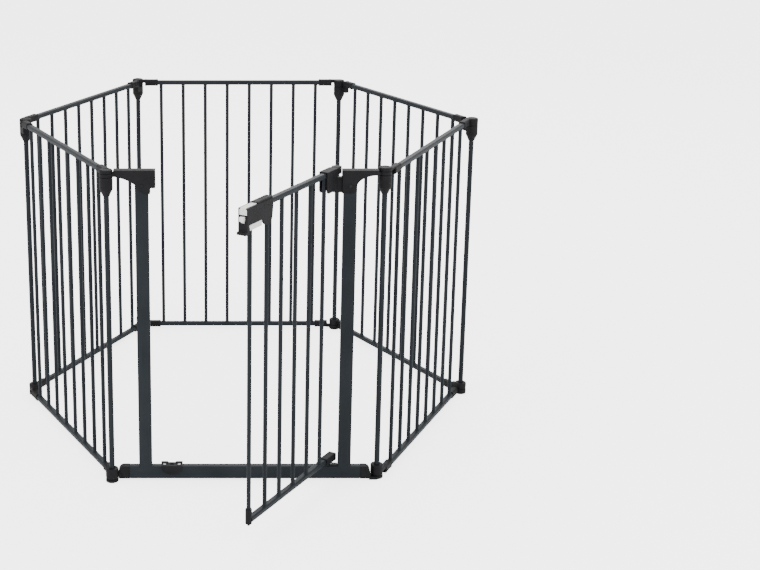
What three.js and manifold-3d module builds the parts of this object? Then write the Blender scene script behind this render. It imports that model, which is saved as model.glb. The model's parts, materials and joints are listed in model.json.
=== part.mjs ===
// Free-standing safety gate: five barred fence panels and one gate panel with a
// walk-through door, hinged corner to corner into a six-sided pen.
// Millimetres, +Z up. The floor is Z = 0, X runs along the gate panel from its latch
// side to its hinge side, and +Y points from the gate panel into the pen.
// Each fence panel is built in its own frame: X along its rails, starting beside its
// first corner, with the corner posts HINGE_OFFSET to one side and then to the other,
// so that the folded panels lie side by side.

import * as THREE from 'three';
import { mergeVertices } from 'three/addons/utils/BufferGeometryUtils.js';
import Module from 'manifold-3d';

const wasm = await Module();
wasm.setup();

// Driving dimensions of the pen
const PANEL_SPAN = 572; // post axis to post axis of a fence panel
const GATE_SPAN = 618; // post axis to post axis of the gate panel
const HINGE_OFFSET = 9; // post axis to the centre line of a fence panel
const GATE_HINGE_OFFSET = 13; // the same at the gate's hinge side
const PEN_DEPTH = 1012; // gate panel to back panel
const BACK_SHIFT = -8.4; // back panel's middle, from the gate's middle

// Fence panels
const RAIL_WIDTH = 15;
const RAIL_HEIGHT = 12;
const RAIL_CORNER = 3.5;
const TOP_RAIL_Z = 733; // underside of the top rails
const BOTTOM_RAIL_Z = 6; // underside of the bottom rails
const RAIL_INSET = 30; // rail end from the corner
const BAR_RADIUS = 4.75;
const BAR_COUNT = 8;
const FIRST_BAR = 66.6; // from the corner to the first bar

// Corner posts and their plastic hinges
const POST_RADIUS = 6.35;
const POST_BOTTOM = 4;
const POST_TOP = 743;
const HUB_RADIUS = 15;
const HUB_BOTTOM = 690;
const HUB_TAPER_TOP = 706;
const HUB_SKIRT_RADIUS = 8;
const HUB_TOP = 729.5;
const CAP_BOTTOM = 730;
const CAP_TOP = 748;
const FOOT_TOP = 13;
const CUP_BOTTOM = 13.5;
const CUP_TOP = 30;
const THIN_FOOT_TOP = 7; // foot plate under a deep cup
const DEEP_CUP_BOTTOM = 7.5;
const DEEP_CUP_TOP = 33.5;
const CUFF_START = 21;
const CUFF_END = 57.5;
const CUFF_WIDTH = 17.4;
const CUFF_RADIUS = 4;
const CUFF_MARGIN = 3; // cuff wall above and below its rail
const ARM_WIDTH = 13;
const ARM_REACH = CUFF_START + 5;
const CAP_ARM_BOTTOM = 739;
const HUB_ARM_BOTTOM = 714;
const HUB_ARM_TOP = 729;
const HUB_TIE_START = 17; // the tie up to the cuff, clear of the cap's disc
const HUB_TIE_TOP = 737;
const CUP_ARM_BOTTOM = 14.5;
const CUP_ARM_TOP = 26;
const FOOT_ARM_BOTTOM = 2;
const FOOT_ARM_TOP = 10.5;
const GAP = 0.3; // between pieces that touch
const CUT = 1; // how far a cutting solid reaches past the surface that it opens
const BORE_RADIUS = POST_RADIUS + 0.35;

// Front corners, where a ring of the gate's bracket sits between the cap and the hub
const FRONT_HUB_TOP = 733.5;
const RING_BOTTOM = 734;
const RING_TOP = 742;
const FRONT_CAP_BOTTOM = 742.5;
const FRONT_CAP_TOP = 751;
const FRONT_POST_TOP = 747;

// Gate frame
const UPRIGHT_X = 231; // gate's middle to an upright's middle
const UPRIGHT_WIDTH = 30;
const FRAME_DEPTH = 18;
const THRESHOLD_BOTTOM = 5;
const THRESHOLD_TOP = 36;
const THRESHOLD_END = 268;
const LEFT_POST_BOTTOM = 10; // the gate's own post stands inside its cup and under the cap
const UPRIGHT_TOP = 736;
const OUTER_EDGE = UPRIGHT_X + UPRIGHT_WIDTH / 2;

// Gate brackets
const BRACKET_DEPTH = 22;
const BRACKET_TOP = 748;
const BRACKET_REACH = 293; // gate's middle to the end of a bracket's body
const NECK_START = 289; // gate's middle to the bridge between a bracket and its ring
const NECK_END = 297;
const SHOULDER_Z = 715; // underside where a bracket leaves its upright
const STRIKE_ARM_Z = 734; // underside at the ring
const STRIKE_FACE_X = -200.4; // face beside the shut door's latch
const STRIKE_PLATE_BOTTOM = 707.6;
const STRIKE_STEP_X = -212;
const STRIKE_BOTTOM = 694;
const STRIKE_POCKET_DEPTH = 8.6;
const HINGE_ARM_Z = 737;
const HINGE_FACE_X = 212.6;
const HINGE_BRACKET_BOTTOM = 696;
const LUG_RADIUS = 9;
const LUG_BOTTOM = 697;
const LUG_TOP = 731.5;
const LUG_WEB_HALF = 7;
const SCREW_Z = 713;

// Threshold fittings
const END_PIECE_X = 292;
const LEFT_END_PIECE_X = 294.5;
const CATCH_HALF = 12; // across the threshold
const CATCH_REACH = 25; // along the threshold, from the pin's hole
const CATCH_EAR = 16;
const CATCH_DECK = THRESHOLD_TOP + 2.3;
const CATCH_SKIRT_BOTTOM = 17;
const PIVOT_BASE_TOP = THRESHOLD_TOP + 3;

// Door, measured along the door from its hinge axis
const DOOR_AXIS_X = 200;
const DOOR_ANGLE = 58; // how far the door stands open, in degrees
const DOOR_STILE = 370;
const DOOR_SECOND_BAR = 303;
const DOOR_BAR_PITCH = 61.5;
const DOOR_BAR_COUNT = 5; // besides the stile
const DOOR_TOP_Z = 741;
const DOOR_BOTTOM_Z = 52;
const DOOR_RAIL_START = 34;
const DOOR_DROP = 8; // how far the door drops over its catch
const CATCH_X = DOOR_AXIS_X - DOOR_STILE; // under the stile when the door is shut

// Door's hinge fittings
const SLEEVE_START = 13;
const SLEEVE_END = 61;
const SLEEVE_BOTTOM = 706;
const SLEEVE_TOP = 755.5;
const SLEEVE_CORNER = 10;
const BARREL_RADIUS = 11.2;
const BARREL_BOTTOM = 740;
const HINGE_PIN_RADIUS = 3;
const HINGE_PIN_TOP = 746;
const PIVOT_PIN_RADIUS = 4;
const END_CAP_REACH = 36;
const END_CAP_BACK = -8;
const END_CAP_BOTTOM = 48;
const END_CAP_SIZE = 18;

// Latch, at the door's free end
const LATCH_START = 298;
const LATCH_END = 398;
const LATCH_HALF = 11;
const LATCH_TOP = 756;
const LATCH_SIDE_BOTTOM = 719.5;
const LATCH_CHEEK_BOTTOM = 703;
const LATCH_FOOT_BOTTOM = 700.5;
const LATCH_FOOT_TOP = 714;
const LATCH_LIP_TOP = 706.8; // the foot's lip passes under the strike bracket
const LATCH_LIP_END = 404;
const GRIP_END = 355;
const GRIP_HEIGHT = 14;
const GRIP_TOP = 760;
const BUTTON_START = 352;
const BUTTON_TOP = 757;
const BUTTON_BOTTOM = 741.5;
const BUTTON_HALF = 6.5;
const BUTTON_FACE_HALF = 9;
const BUTTON_FACE_TOP = 753.7;
const BUTTON_TRAVEL = 6;
const BOLT_BOTTOM = 729.5;
const BOLT_TOP = 738.5;
const BOLT_HALF = 5;
const BOLT_TAIL = 390.5;
const BOLT_TIP = LATCH_END + 7;
const PAD_BOTTOM = 725;
const PAD_TOP = 728;
const PAD_HALF = 4;
const LEVER_START = 338;
const LEVER_END = 386;
const LEVER_BOTTOM = 707;
const LEVER_TOP = 720.5;
const LEVER_HALF = 9;
const LEVER_ROOM_TOP = 724.6;
const STILE_CAP_TOP = 85;
const STILE_CAP_RADIUS = 7.3;

const COLOURS = {
  painted: { color: 0x2b3338, roughness: 0.42, metalness: 0.35 },
  plastic: { color: 0x3b3b40, roughness: 0.6, metalness: 0 },
  white: { color: 0xe4e2df, roughness: 0.45, metalness: 0 },
  steel: { color: 0xa8acb0, roughness: 0.3, metalness: 0.9 },
};

const pen = new THREE.Group();

// ---- Solids ----------------------------------------------------------------------

function solid(geometry) {
  geometry.deleteAttribute('normal');
  geometry.deleteAttribute('uv');
  const merged = mergeVertices(geometry, 1e-4);
  return new wasm.Manifold(new wasm.Mesh({
    numProp: 3,
    vertProperties: new Float32Array(merged.attributes.position.array),
    triVerts: new Uint32Array(merged.index.array),
  }));
}

function toGeometry(manifold) {
  const mesh = manifold.getMesh();
  const geometry = new THREE.BufferGeometry();
  geometry.setAttribute('position', new THREE.BufferAttribute(mesh.vertProperties, 3));
  geometry.setIndex(new THREE.BufferAttribute(mesh.triVerts, 1));
  geometry.computeVertexNormals();
  return geometry;
}

function join(first, ...others) {
  return others.reduce((sum, other) => sum.add(other), first);
}

function cut(first, ...others) {
  return others.reduce((rest, other) => rest.subtract(other), first);
}

function box(x0, x1, y0, y1, z0, z1) {
  const geometry = new THREE.BoxGeometry(x1 - x0, y1 - y0, z1 - z0);
  geometry.translate((x0 + x1) / 2, (y0 + y1) / 2, (z0 + z1) / 2);
  return solid(geometry);
}

function upright(x, y, z0, z1, radius, sides = 16) {
  const geometry = new THREE.CylinderGeometry(radius, radius, z1 - z0, sides);
  geometry.rotateX(Math.PI / 2);
  geometry.translate(x, y, (z0 + z1) / 2);
  return solid(geometry);
}

// A vertical turned shape from [radius, z] points that start and end on the axis.
function turned(x, y, profile, sides = 16) {
  const points = profile.map(([radius, z]) => new THREE.Vector2(radius, z));
  const geometry = new THREE.LatheGeometry(points, sides);
  geometry.rotateX(Math.PI / 2);
  geometry.translate(x, y, 0);
  return solid(geometry);
}

function roundedOutline(width, height, radius) {
  const outline = new THREE.Shape();
  const w = width / 2 - radius;
  const h = height / 2 - radius;
  outline.absarc(w, h, radius, 0, Math.PI / 2);
  outline.absarc(-w, h, radius, Math.PI / 2, Math.PI);
  outline.absarc(-w, -h, radius, Math.PI, Math.PI * 1.5);
  outline.absarc(w, -h, radius, Math.PI * 1.5, Math.PI * 2);
  return outline;
}

// A rounded bar along X, centred on y, standing on z.
function beam(x0, x1, y, z, width, height, radius, curveSegments = 2) {
  const shape = roundedOutline(width, height, radius);
  const geometry = new THREE.ExtrudeGeometry(shape, {
    depth: x1 - x0, bevelEnabled: false, curveSegments,
  });
  geometry.rotateX(Math.PI / 2);
  geometry.rotateZ(Math.PI / 2);
  geometry.translate(x0, y, z + height / 2);
  return solid(geometry);
}

// A side outline of [x, z] points, given a thickness from y0 to y1.
function plate(points, y0, y1) {
  const shape = new THREE.Shape(points.map(([x, z]) => new THREE.Vector2(x, z)));
  return sidePlate(shape, y0, y1);
}

function sidePlate(shape, y0, y1, curveSegments = 6) {
  const geometry = new THREE.ExtrudeGeometry(shape, {
    depth: y1 - y0, bevelEnabled: false, curveSegments,
  });
  geometry.rotateX(Math.PI / 2);
  geometry.translate(0, y1, 0);
  return solid(geometry);
}

function place(group, name, finish, manifold) {
  const mesh = new THREE.Mesh(toGeometry(manifold), new THREE.MeshStandardMaterial(COLOURS[finish]));
  mesh.name = name;
  group.add(mesh);
}

// ---- Corner hinges ---------------------------------------------------------------
// Built with the rails running towards +X. `side` is the corner's place beside the
// rail line.

function railSocket(railZ) {
  return beam(RAIL_INSET - GAP, CUFF_END + CUT, 0, railZ - GAP,
    RAIL_WIDTH + 2 * GAP, RAIL_HEIGHT + 2 * GAP, RAIL_CORNER);
}

function cuff(railZ) {
  return beam(CUFF_START, CUFF_END, 0, railZ - CUFF_MARGIN,
    CUFF_WIDTH, RAIL_HEIGHT + 2 * CUFF_MARGIN, CUFF_RADIUS);
}

function arm(z0, z1, start = 2) {
  return beam(start, ARM_REACH, 0, z0, ARM_WIDTH, z1 - z0, 2, 1);
}

function postBore(side, z0, z1) {
  return upright(0, side, z0, z1, BORE_RADIUS, 12);
}

// A cap with no bore, for where the ring of panels opens.
function looseCap(side, bottom, top) {
  const rim = 2;
  const profile = [
    [0, bottom], [HUB_RADIUS, bottom], [HUB_RADIUS, top - rim], [HUB_RADIUS - rim, top], [0, top],
  ];
  const armBottom = Math.max(CAP_ARM_BOTTOM, bottom + GAP);
  const body = join(turned(0, side, profile), arm(armBottom, CAP_TOP - GAP), cuff(TOP_RAIL_Z));
  return cut(body, railSocket(TOP_RAIL_Z));
}

function topCap(side) {
  return cut(looseCap(side, CAP_BOTTOM, CAP_TOP), postBore(side, CAP_BOTTOM - CUT, POST_TOP + GAP));
}

function frontCap(side) {
  return cut(looseCap(side, FRONT_CAP_BOTTOM, FRONT_CAP_TOP),
    postBore(side, FRONT_CAP_BOTTOM - CUT, FRONT_POST_TOP + GAP));
}

function hubBody(side, top) {
  const profile = [
    [0, HUB_BOTTOM], [HUB_SKIRT_RADIUS, HUB_BOTTOM], [HUB_RADIUS, HUB_TAPER_TOP],
    [HUB_RADIUS, top], [0, top],
  ];
  return turned(0, side, profile);
}

function armedHub(side) {
  const body = join(hubBody(side, HUB_TOP), arm(HUB_ARM_BOTTOM, HUB_ARM_TOP),
    arm(HUB_ARM_BOTTOM, HUB_TIE_TOP, HUB_TIE_START), cuff(TOP_RAIL_Z));
  return cut(body, railSocket(TOP_RAIL_Z), postBore(side, HUB_BOTTOM - CUT, HUB_TOP + CUT));
}

// The hub under a gate bracket's ring.
function frontHub(side) {
  return cut(hubBody(side, FRONT_HUB_TOP), postBore(side, HUB_BOTTOM - CUT, FRONT_HUB_TOP + CUT));
}

function armedCup(side, bottom, top) {
  const body = join(upright(0, side, bottom, top, HUB_RADIUS),
    arm(CUP_ARM_BOTTOM, CUP_ARM_TOP), cuff(BOTTOM_RAIL_Z));
  return cut(body, railSocket(BOTTOM_RAIL_Z), postBore(side, bottom - CUT, top + CUT));
}

function armedFoot(side) {
  const body = join(upright(0, side, 0, FOOT_TOP, HUB_RADIUS),
    arm(FOOT_ARM_BOTTOM, FOOT_ARM_TOP), cuff(BOTTOM_RAIL_Z));
  return cut(body, railSocket(BOTTOM_RAIL_Z), postBore(side, POST_BOTTOM - GAP, FOOT_TOP + CUT));
}

// The thin foot under the post that the ring of panels opens at.
function looseFoot(side) {
  const body = join(upright(0, side, 0, THIN_FOOT_TOP, HUB_RADIUS),
    arm(FOOT_ARM_BOTTOM, THIN_FOOT_TOP), cuff(BOTTOM_RAIL_Z));
  return cut(body, railSocket(BOTTOM_RAIL_Z));
}

function post(side, top = POST_TOP) {
  return upright(0, side, POST_BOTTOM, top, POST_RADIUS, 14);
}

// Turns a piece made for a panel's start so that it fits the panel's far end.
function atFarEnd(manifold, length) {
  return manifold.rotate([0, 0, 180]).translate([length, 0, 0]);
}

// ---- Fence panels ----------------------------------------------------------------

const PANEL_LENGTH = Math.sqrt(PANEL_SPAN ** 2 - (2 * HINGE_OFFSET) ** 2);

function fenceWeldment() {
  const railEnd = PANEL_LENGTH - RAIL_INSET;
  const pitch = (PANEL_LENGTH - 2 * FIRST_BAR) / (BAR_COUNT - 1);
  let body = join(
    beam(RAIL_INSET, railEnd, 0, TOP_RAIL_Z, RAIL_WIDTH, RAIL_HEIGHT, RAIL_CORNER),
    beam(RAIL_INSET, railEnd, 0, BOTTOM_RAIL_Z, RAIL_WIDTH, RAIL_HEIGHT, RAIL_CORNER));
  for (let bar = 0; bar < BAR_COUNT; bar += 1) {
    const x = FIRST_BAR + bar * pitch;
    body = body.add(upright(x, 0, BOTTOM_RAIL_Z + 3, TOP_RAIL_Z + 9, BAR_RADIUS, 10));
  }
  return body;
}

// Where the corner between two others stands, on the outer side of the line from a to b.
function knee(a, b) {
  const middle = a.clone().add(b).multiplyScalar(0.5);
  const half = a.distanceTo(b) / 2;
  const out = new THREE.Vector2(b.y - a.y, a.x - b.x).normalize();
  return middle.addScaledVector(out, Math.sqrt(PANEL_SPAN ** 2 - half ** 2));
}

const corners = {
  front_right: new THREE.Vector2(GATE_SPAN / 2, GATE_HINGE_OFFSET),
  back_right: new THREE.Vector2(BACK_SHIFT + PANEL_LENGTH / 2, PEN_DEPTH - HINGE_OFFSET),
  back_left: new THREE.Vector2(BACK_SHIFT - PANEL_LENGTH / 2, PEN_DEPTH + HINGE_OFFSET),
  front_left: new THREE.Vector2(-GATE_SPAN / 2, -HINGE_OFFSET),
};
corners.right = knee(corners.front_right, corners.back_right);
corners.left = knee(corners.back_left, corners.front_left);

// A group whose X axis runs along the rails of the panel between two corners, with the
// first corner at y = side and the second at y = -side.
function panelGroup(from, to, side) {
  const a = corners[from];
  const b = corners[to];
  const slant = Math.atan2(2 * side, PANEL_LENGTH);
  const group = new THREE.Group();
  group.rotation.z = Math.atan2(b.y - a.y, b.x - a.x) + slant;
  const offset = new THREE.Vector2(0, side).rotateAround(new THREE.Vector2(), group.rotation.z);
  group.position.set(a.x - offset.x, a.y - offset.y, 0);
  pen.add(group);
  return group;
}

// A corner's pieces that the panel carries: `upper` is the cap and foot that turn on the
// post, and `lower` is the post with the hub and cup that hold it.
function placeUpper(group, corner, side, finishEnd) {
  place(group, `${corner}_top_cap`, 'plastic', finishEnd(topCap(side)));
  place(group, `${corner}_foot`, 'plastic', finishEnd(armedFoot(side)));
}

function placeLower(group, corner, side, finishEnd) {
  place(group, `${corner}_hub`, 'plastic', finishEnd(armedHub(side)));
  place(group, `${corner}_post`, 'painted', finishEnd(post(side)));
  place(group, `${corner}_cup`, 'plastic', finishEnd(armedCup(side, CUP_BOTTOM, CUP_TOP)));
}

const atStart = (manifold) => manifold;
const atEnd = (manifold) => atFarEnd(manifold, PANEL_LENGTH);

function buildFence() {
  const s = HINGE_OFFSET;

  const rightFront = panelGroup('front_right', 'right', s);
  place(rightFront, 'panel_right_front', 'painted', fenceWeldment());
  place(rightFront, 'front_right_top_cap', 'plastic', frontCap(s));
  place(rightFront, 'front_right_hub', 'plastic', frontHub(s));
  place(rightFront, 'front_right_post', 'painted', post(s, FRONT_POST_TOP));
  place(rightFront, 'front_right_cup', 'plastic', armedCup(s, DEEP_CUP_BOTTOM, DEEP_CUP_TOP));
  placeUpper(rightFront, 'right', s, atEnd);

  const rightBack = panelGroup('right', 'back_right', -s);
  place(rightBack, 'panel_right_back', 'painted', fenceWeldment());
  placeLower(rightBack, 'right', -s, atStart);
  placeLower(rightBack, 'back_right', -s, atEnd);

  const back = panelGroup('back_right', 'back_left', s);
  place(back, 'panel_back', 'painted', fenceWeldment());
  placeUpper(back, 'back_right', s, atStart);
  placeUpper(back, 'back_left', s, atEnd);

  const leftBack = panelGroup('back_left', 'left', -s);
  place(leftBack, 'panel_left_back', 'painted', fenceWeldment());
  placeLower(leftBack, 'back_left', -s, atStart);
  placeUpper(leftBack, 'left', -s, atEnd);

  const leftFront = panelGroup('left', 'front_left', s);
  place(leftFront, 'panel_left_front', 'painted', fenceWeldment());
  placeLower(leftFront, 'left', s, atStart);
  place(leftFront, 'front_left_top_cap', 'plastic', atEnd(looseCap(s, FRONT_CAP_BOTTOM, FRONT_CAP_TOP)));
  place(leftFront, 'front_left_foot', 'plastic', atEnd(looseFoot(s)));
}

// ---- Gate frame ------------------------------------------------------------------

function gateWeldment() {
  const half = FRAME_DEPTH / 2;
  const legs = [-UPRIGHT_X, UPRIGHT_X].map((x) => box(
    x - UPRIGHT_WIDTH / 2, x + UPRIGHT_WIDTH / 2, -half, half, THRESHOLD_BOTTOM + 1, UPRIGHT_TOP));
  const threshold = beam(-THRESHOLD_END, THRESHOLD_END, 0, THRESHOLD_BOTTOM,
    FRAME_DEPTH, THRESHOLD_TOP - THRESHOLD_BOTTOM, 2, 2);
  return join(threshold, ...legs);
}

// Ring of a gate bracket around a corner post, at the bracket's own corner, bored for the
// post after it is joined.
function bracketRing(corner) {
  return upright(corner.x, corner.y, RING_BOTTOM, RING_TOP, HUB_RADIUS);
}

function ringBore(corner) {
  return upright(corner.x, corner.y, RING_BOTTOM - CUT, RING_TOP + CUT, BORE_RADIUS, 12);
}

function uprightPocket(x) {
  const half = FRAME_DEPTH / 2 + GAP;
  const reach = UPRIGHT_WIDTH / 2 + GAP;
  return box(x - reach, x + reach, -half, half, STRIKE_BOTTOM - CUT, UPRIGHT_TOP + GAP);
}

function strikeOutline() {
  const shape = new THREE.Shape();
  shape.moveTo(-BRACKET_REACH, STRIKE_ARM_Z);
  shape.lineTo(-BRACKET_REACH, BRACKET_TOP);
  shape.lineTo(STRIKE_FACE_X, BRACKET_TOP);
  shape.lineTo(STRIKE_FACE_X, STRIKE_PLATE_BOTTOM);
  shape.lineTo(STRIKE_STEP_X, STRIKE_PLATE_BOTTOM);
  shape.lineTo(STRIKE_STEP_X, STRIKE_BOTTOM);
  shape.lineTo(-UPRIGHT_X + 10, STRIKE_BOTTOM);
  shape.quadraticCurveTo(-UPRIGHT_X - 5, STRIKE_BOTTOM + 3, -OUTER_EDGE, SHOULDER_Z);
  shape.quadraticCurveTo(-OUTER_EDGE - 16, STRIKE_ARM_Z - 6, -BRACKET_REACH, STRIKE_ARM_Z);
  return shape;
}

function strikeBracket() {
  const half = BRACKET_DEPTH / 2;
  const corner = corners.front_left;
  const body = sidePlate(strikeOutline(), -half, half);
  const neck = box(-NECK_END, -NECK_START, corner.y - 5, half - 5, RING_BOTTOM, RING_TOP);
  const pocket = box(STRIKE_FACE_X - STRIKE_POCKET_DEPTH, STRIKE_FACE_X + CUT,
    -BOLT_HALF - 1, BOLT_HALF + 1, BOLT_BOTTOM - DOOR_DROP - 1, BOLT_TOP + 1);
  const joined = join(body, neck, bracketRing(corner));
  return cut(joined, uprightPocket(-UPRIGHT_X), pocket, ringBore(corner));
}

function hingeOutline() {
  const shape = new THREE.Shape();
  shape.moveTo(BRACKET_REACH, HINGE_ARM_Z);
  shape.lineTo(BRACKET_REACH, BRACKET_TOP);
  shape.lineTo(HINGE_FACE_X, BRACKET_TOP);
  shape.lineTo(HINGE_FACE_X, HINGE_BRACKET_BOTTOM);
  shape.lineTo(UPRIGHT_X + 6, HINGE_BRACKET_BOTTOM);
  shape.quadraticCurveTo(OUTER_EDGE, HINGE_BRACKET_BOTTOM + 2, OUTER_EDGE, SHOULDER_Z);
  shape.quadraticCurveTo(OUTER_EDGE + 8, HINGE_ARM_Z - 2, BRACKET_REACH, HINGE_ARM_Z);
  return shape;
}

function hingeBracket() {
  const half = BRACKET_DEPTH / 2;
  const corner = corners.front_right;
  const body = sidePlate(hingeOutline(), -half, half);
  const neck = box(NECK_START, NECK_END, -2, corner.y + 4, RING_BOTTOM, RING_TOP);
  const lug = upright(DOOR_AXIS_X, 0, LUG_BOTTOM, LUG_TOP, LUG_RADIUS);
  const web = box(DOOR_AXIS_X, HINGE_FACE_X + CUT, -LUG_WEB_HALF, LUG_WEB_HALF, LUG_BOTTOM, LUG_TOP);
  const joined = join(body, neck, lug, web, bracketRing(corner));
  return cut(joined, uprightPocket(UPRIGHT_X), ringBore(corner),
    upright(DOOR_AXIS_X, 0, LUG_BOTTOM + 2, LUG_TOP + CUT, HINGE_PIN_RADIUS + GAP, 12));
}

// End pieces are drawn for the +X end of the threshold.
function endPlug(endX) {
  const x0 = THRESHOLD_END + GAP;
  return plate([
    [x0, THRESHOLD_BOTTOM], [endX, THRESHOLD_BOTTOM], [endX, THRESHOLD_TOP - 14],
    [endX - 4, THRESHOLD_TOP - 5], [endX - 12, THRESHOLD_TOP], [x0, THRESHOLD_TOP],
  ], -FRAME_DEPTH / 2, FRAME_DEPTH / 2);
}

function rightEndPiece() {
  const corner = corners.front_right;
  const tongue = join(upright(corner.x, corner.y, 0, THIN_FOOT_TOP, HUB_RADIUS),
    box(END_PIECE_X - 2, corner.x, -5, corner.y + 5.5, 0, THIN_FOOT_TOP));
  return cut(join(endPlug(END_PIECE_X), tongue),
    upright(corner.x, corner.y, POST_BOTTOM - GAP, THIN_FOOT_TOP + CUT, BORE_RADIUS, 12));
}

function leftEndPiece() {
  const corner = corners.front_left;
  const plug = endPlug(LEFT_END_PIECE_X).rotate([0, 0, 180]);
  const neck = box(corner.x, -END_PIECE_X + 4, corner.y - 4, corner.y + 12, THIN_FOOT_TOP + 1, 20);
  return cut(join(plug, neck), upright(corner.x, corner.y, 0, THRESHOLD_TOP + CUT, HUB_RADIUS + GAP));
}

function leftCup() {
  const corner = corners.front_left;
  return cut(upright(corner.x, corner.y, DEEP_CUP_BOTTOM, DEEP_CUP_TOP, HUB_RADIUS),
    upright(corner.x, corner.y, LEFT_POST_BOTTOM - GAP, DEEP_CUP_TOP + CUT, BORE_RADIUS, 12));
}

// Double-sided clip over the threshold, with a raised ear and a screw to each side of the
// pin's hole.
function catchSkirt(middle, top) {
  const left = middle - CATCH_REACH;
  const right = middle + CATCH_REACH;
  const low = CATCH_SKIRT_BOTTOM;
  const shape = new THREE.Shape();
  shape.moveTo(left, top);
  shape.bezierCurveTo(left, low + 3, middle - 12, low, middle, low);
  shape.bezierCurveTo(middle + 12, low, right, low + 3, right, top);
  return shape;
}

function lowerCatch() {
  const top = THRESHOLD_TOP + GAP;
  const left = CATCH_X - CATCH_REACH;
  const right = CATCH_X + CATCH_REACH;
  const skirt = catchSkirt(CATCH_X, top);
  const inner = FRAME_DEPTH / 2 + GAP;
  const ears = [left, right - CATCH_EAR].map((x) => box(x, x + CATCH_EAR, 3, CATCH_HALF, top, top + 4.5));
  const body = join(box(left, right, -CATCH_HALF, CATCH_HALF, top, CATCH_DECK),
    sidePlate(skirt, -CATCH_HALF, -inner), sidePlate(skirt, inner, CATCH_HALF), ...ears);
  const pinRoom = 4.5;
  return cut(body, upright(CATCH_X, 0, top - CUT, CATCH_DECK + CUT, pinRoom, 12));
}

function catchScrew(side) {
  const x = CATCH_X + side * (CATCH_REACH - CATCH_EAR / 2);
  return upright(x, -3, CATCH_DECK + GAP, CATCH_DECK + 1.5, 3.6, 12);
}

function lowerPivotBase() {
  const bottom = THRESHOLD_TOP + GAP;
  return join(box(DOOR_AXIS_X - 12, UPRIGHT_X - UPRIGHT_WIDTH / 2 - 0.5, -7, 7, bottom, PIVOT_BASE_TOP),
    upright(DOOR_AXIS_X, 0, bottom, PIVOT_BASE_TOP, 8));
}

// A countersunk screw head lying on the bracket's outer face.
function bracketScrew(x) {
  const thickness = 1.6;
  const geometry = new THREE.CylinderGeometry(3.6, 3.2, thickness, 12);
  geometry.translate(x, -BRACKET_DEPTH / 2 - GAP - thickness / 2, SCREW_Z);
  return solid(geometry);
}

function buildGate() {
  const gate = new THREE.Group();
  pen.add(gate);
  place(gate, 'gate_frame', 'painted', gateWeldment());
  place(gate, 'strike_bracket', 'plastic', strikeBracket());
  place(gate, 'hinge_bracket', 'plastic', hingeBracket());
  place(gate, 'right_end_piece', 'plastic', rightEndPiece());
  place(gate, 'left_end_piece', 'plastic', leftEndPiece());
  place(gate, 'lower_catch', 'plastic', lowerCatch());
  place(gate, 'catch_screw_left', 'steel', catchScrew(-1));
  place(gate, 'catch_screw_right', 'steel', catchScrew(1));
  place(gate, 'lower_pivot_base', 'plastic', lowerPivotBase());
  place(gate, 'strike_bracket_screw', 'painted', bracketScrew(-UPRIGHT_X));
  place(gate, 'hinge_bracket_screw', 'painted', bracketScrew(UPRIGHT_X));

  const { x, y } = corners.front_left;
  place(gate, 'front_left_hub', 'plastic', frontHub(0).translate([x, y, 0]));
  place(gate, 'front_left_post', 'painted',
    upright(x, y, LEFT_POST_BOTTOM, RING_TOP - GAP, POST_RADIUS, 14));
  place(gate, 'front_left_cup', 'plastic', leftCup());
}

// ---- Door ------------------------------------------------------------------------
// The door runs along +X from its hinge axis, and its +Y side is the side that faces
// out of the pen when the door is shut.

function doorWeldment() {
  let body = join(
    beam(DOOR_RAIL_START, DOOR_STILE + 5, 0, DOOR_TOP_Z, RAIL_WIDTH, RAIL_HEIGHT, RAIL_CORNER),
    beam(DOOR_RAIL_START - 4, DOOR_STILE - 3, 0, DOOR_BOTTOM_Z, RAIL_WIDTH, RAIL_HEIGHT, RAIL_CORNER),
    upright(DOOR_STILE, 0, DOOR_BOTTOM_Z - 1, DOOR_TOP_Z + 9, BAR_RADIUS, 10));
  for (let bar = 0; bar < DOOR_BAR_COUNT; bar += 1) {
    const x = DOOR_SECOND_BAR - bar * DOOR_BAR_PITCH;
    body = body.add(upright(x, 0, DOOR_BOTTOM_Z + 3, DOOR_TOP_Z + 9, BAR_RADIUS, 10));
  }
  return body;
}

// Its bore leaves room above the hinge pin for the door to drop.
function hingeSleeve() {
  const barrel = upright(0, 0, BARREL_BOTTOM, SLEEVE_TOP, BARREL_RADIUS);
  const outline = new THREE.Shape();
  outline.moveTo(SLEEVE_START, SLEEVE_BOTTOM + SLEEVE_CORNER);
  outline.quadraticCurveTo(SLEEVE_START, SLEEVE_BOTTOM, SLEEVE_START + SLEEVE_CORNER, SLEEVE_BOTTOM);
  outline.lineTo(SLEEVE_END - SLEEVE_CORNER, SLEEVE_BOTTOM);
  outline.quadraticCurveTo(SLEEVE_END, SLEEVE_BOTTOM, SLEEVE_END, SLEEVE_BOTTOM + SLEEVE_CORNER);
  outline.lineTo(SLEEVE_END, SLEEVE_TOP);
  outline.lineTo(SLEEVE_START, SLEEVE_TOP);
  const shell = sidePlate(outline, -LATCH_HALF, LATCH_HALF);
  const neckHalf = LATCH_HALF - 1;
  const neck = box(0, SLEEVE_START + 7, -neckHalf, neckHalf, BARREL_BOTTOM, SLEEVE_TOP - 1);
  const slot = box(DOOR_RAIL_START - 1, SLEEVE_END + CUT, -RAIL_WIDTH / 2 - GAP, RAIL_WIDTH / 2 + GAP,
    SLEEVE_BOTTOM - CUT, DOOR_TOP_Z + RAIL_HEIGHT + GAP);
  const bore = upright(0, 0, BARREL_BOTTOM - CUT, HINGE_PIN_TOP + DOOR_DROP + GAP, HINGE_PIN_RADIUS + 0.6, 12);
  return cut(join(barrel, shell, neck), slot, bore);
}

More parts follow.
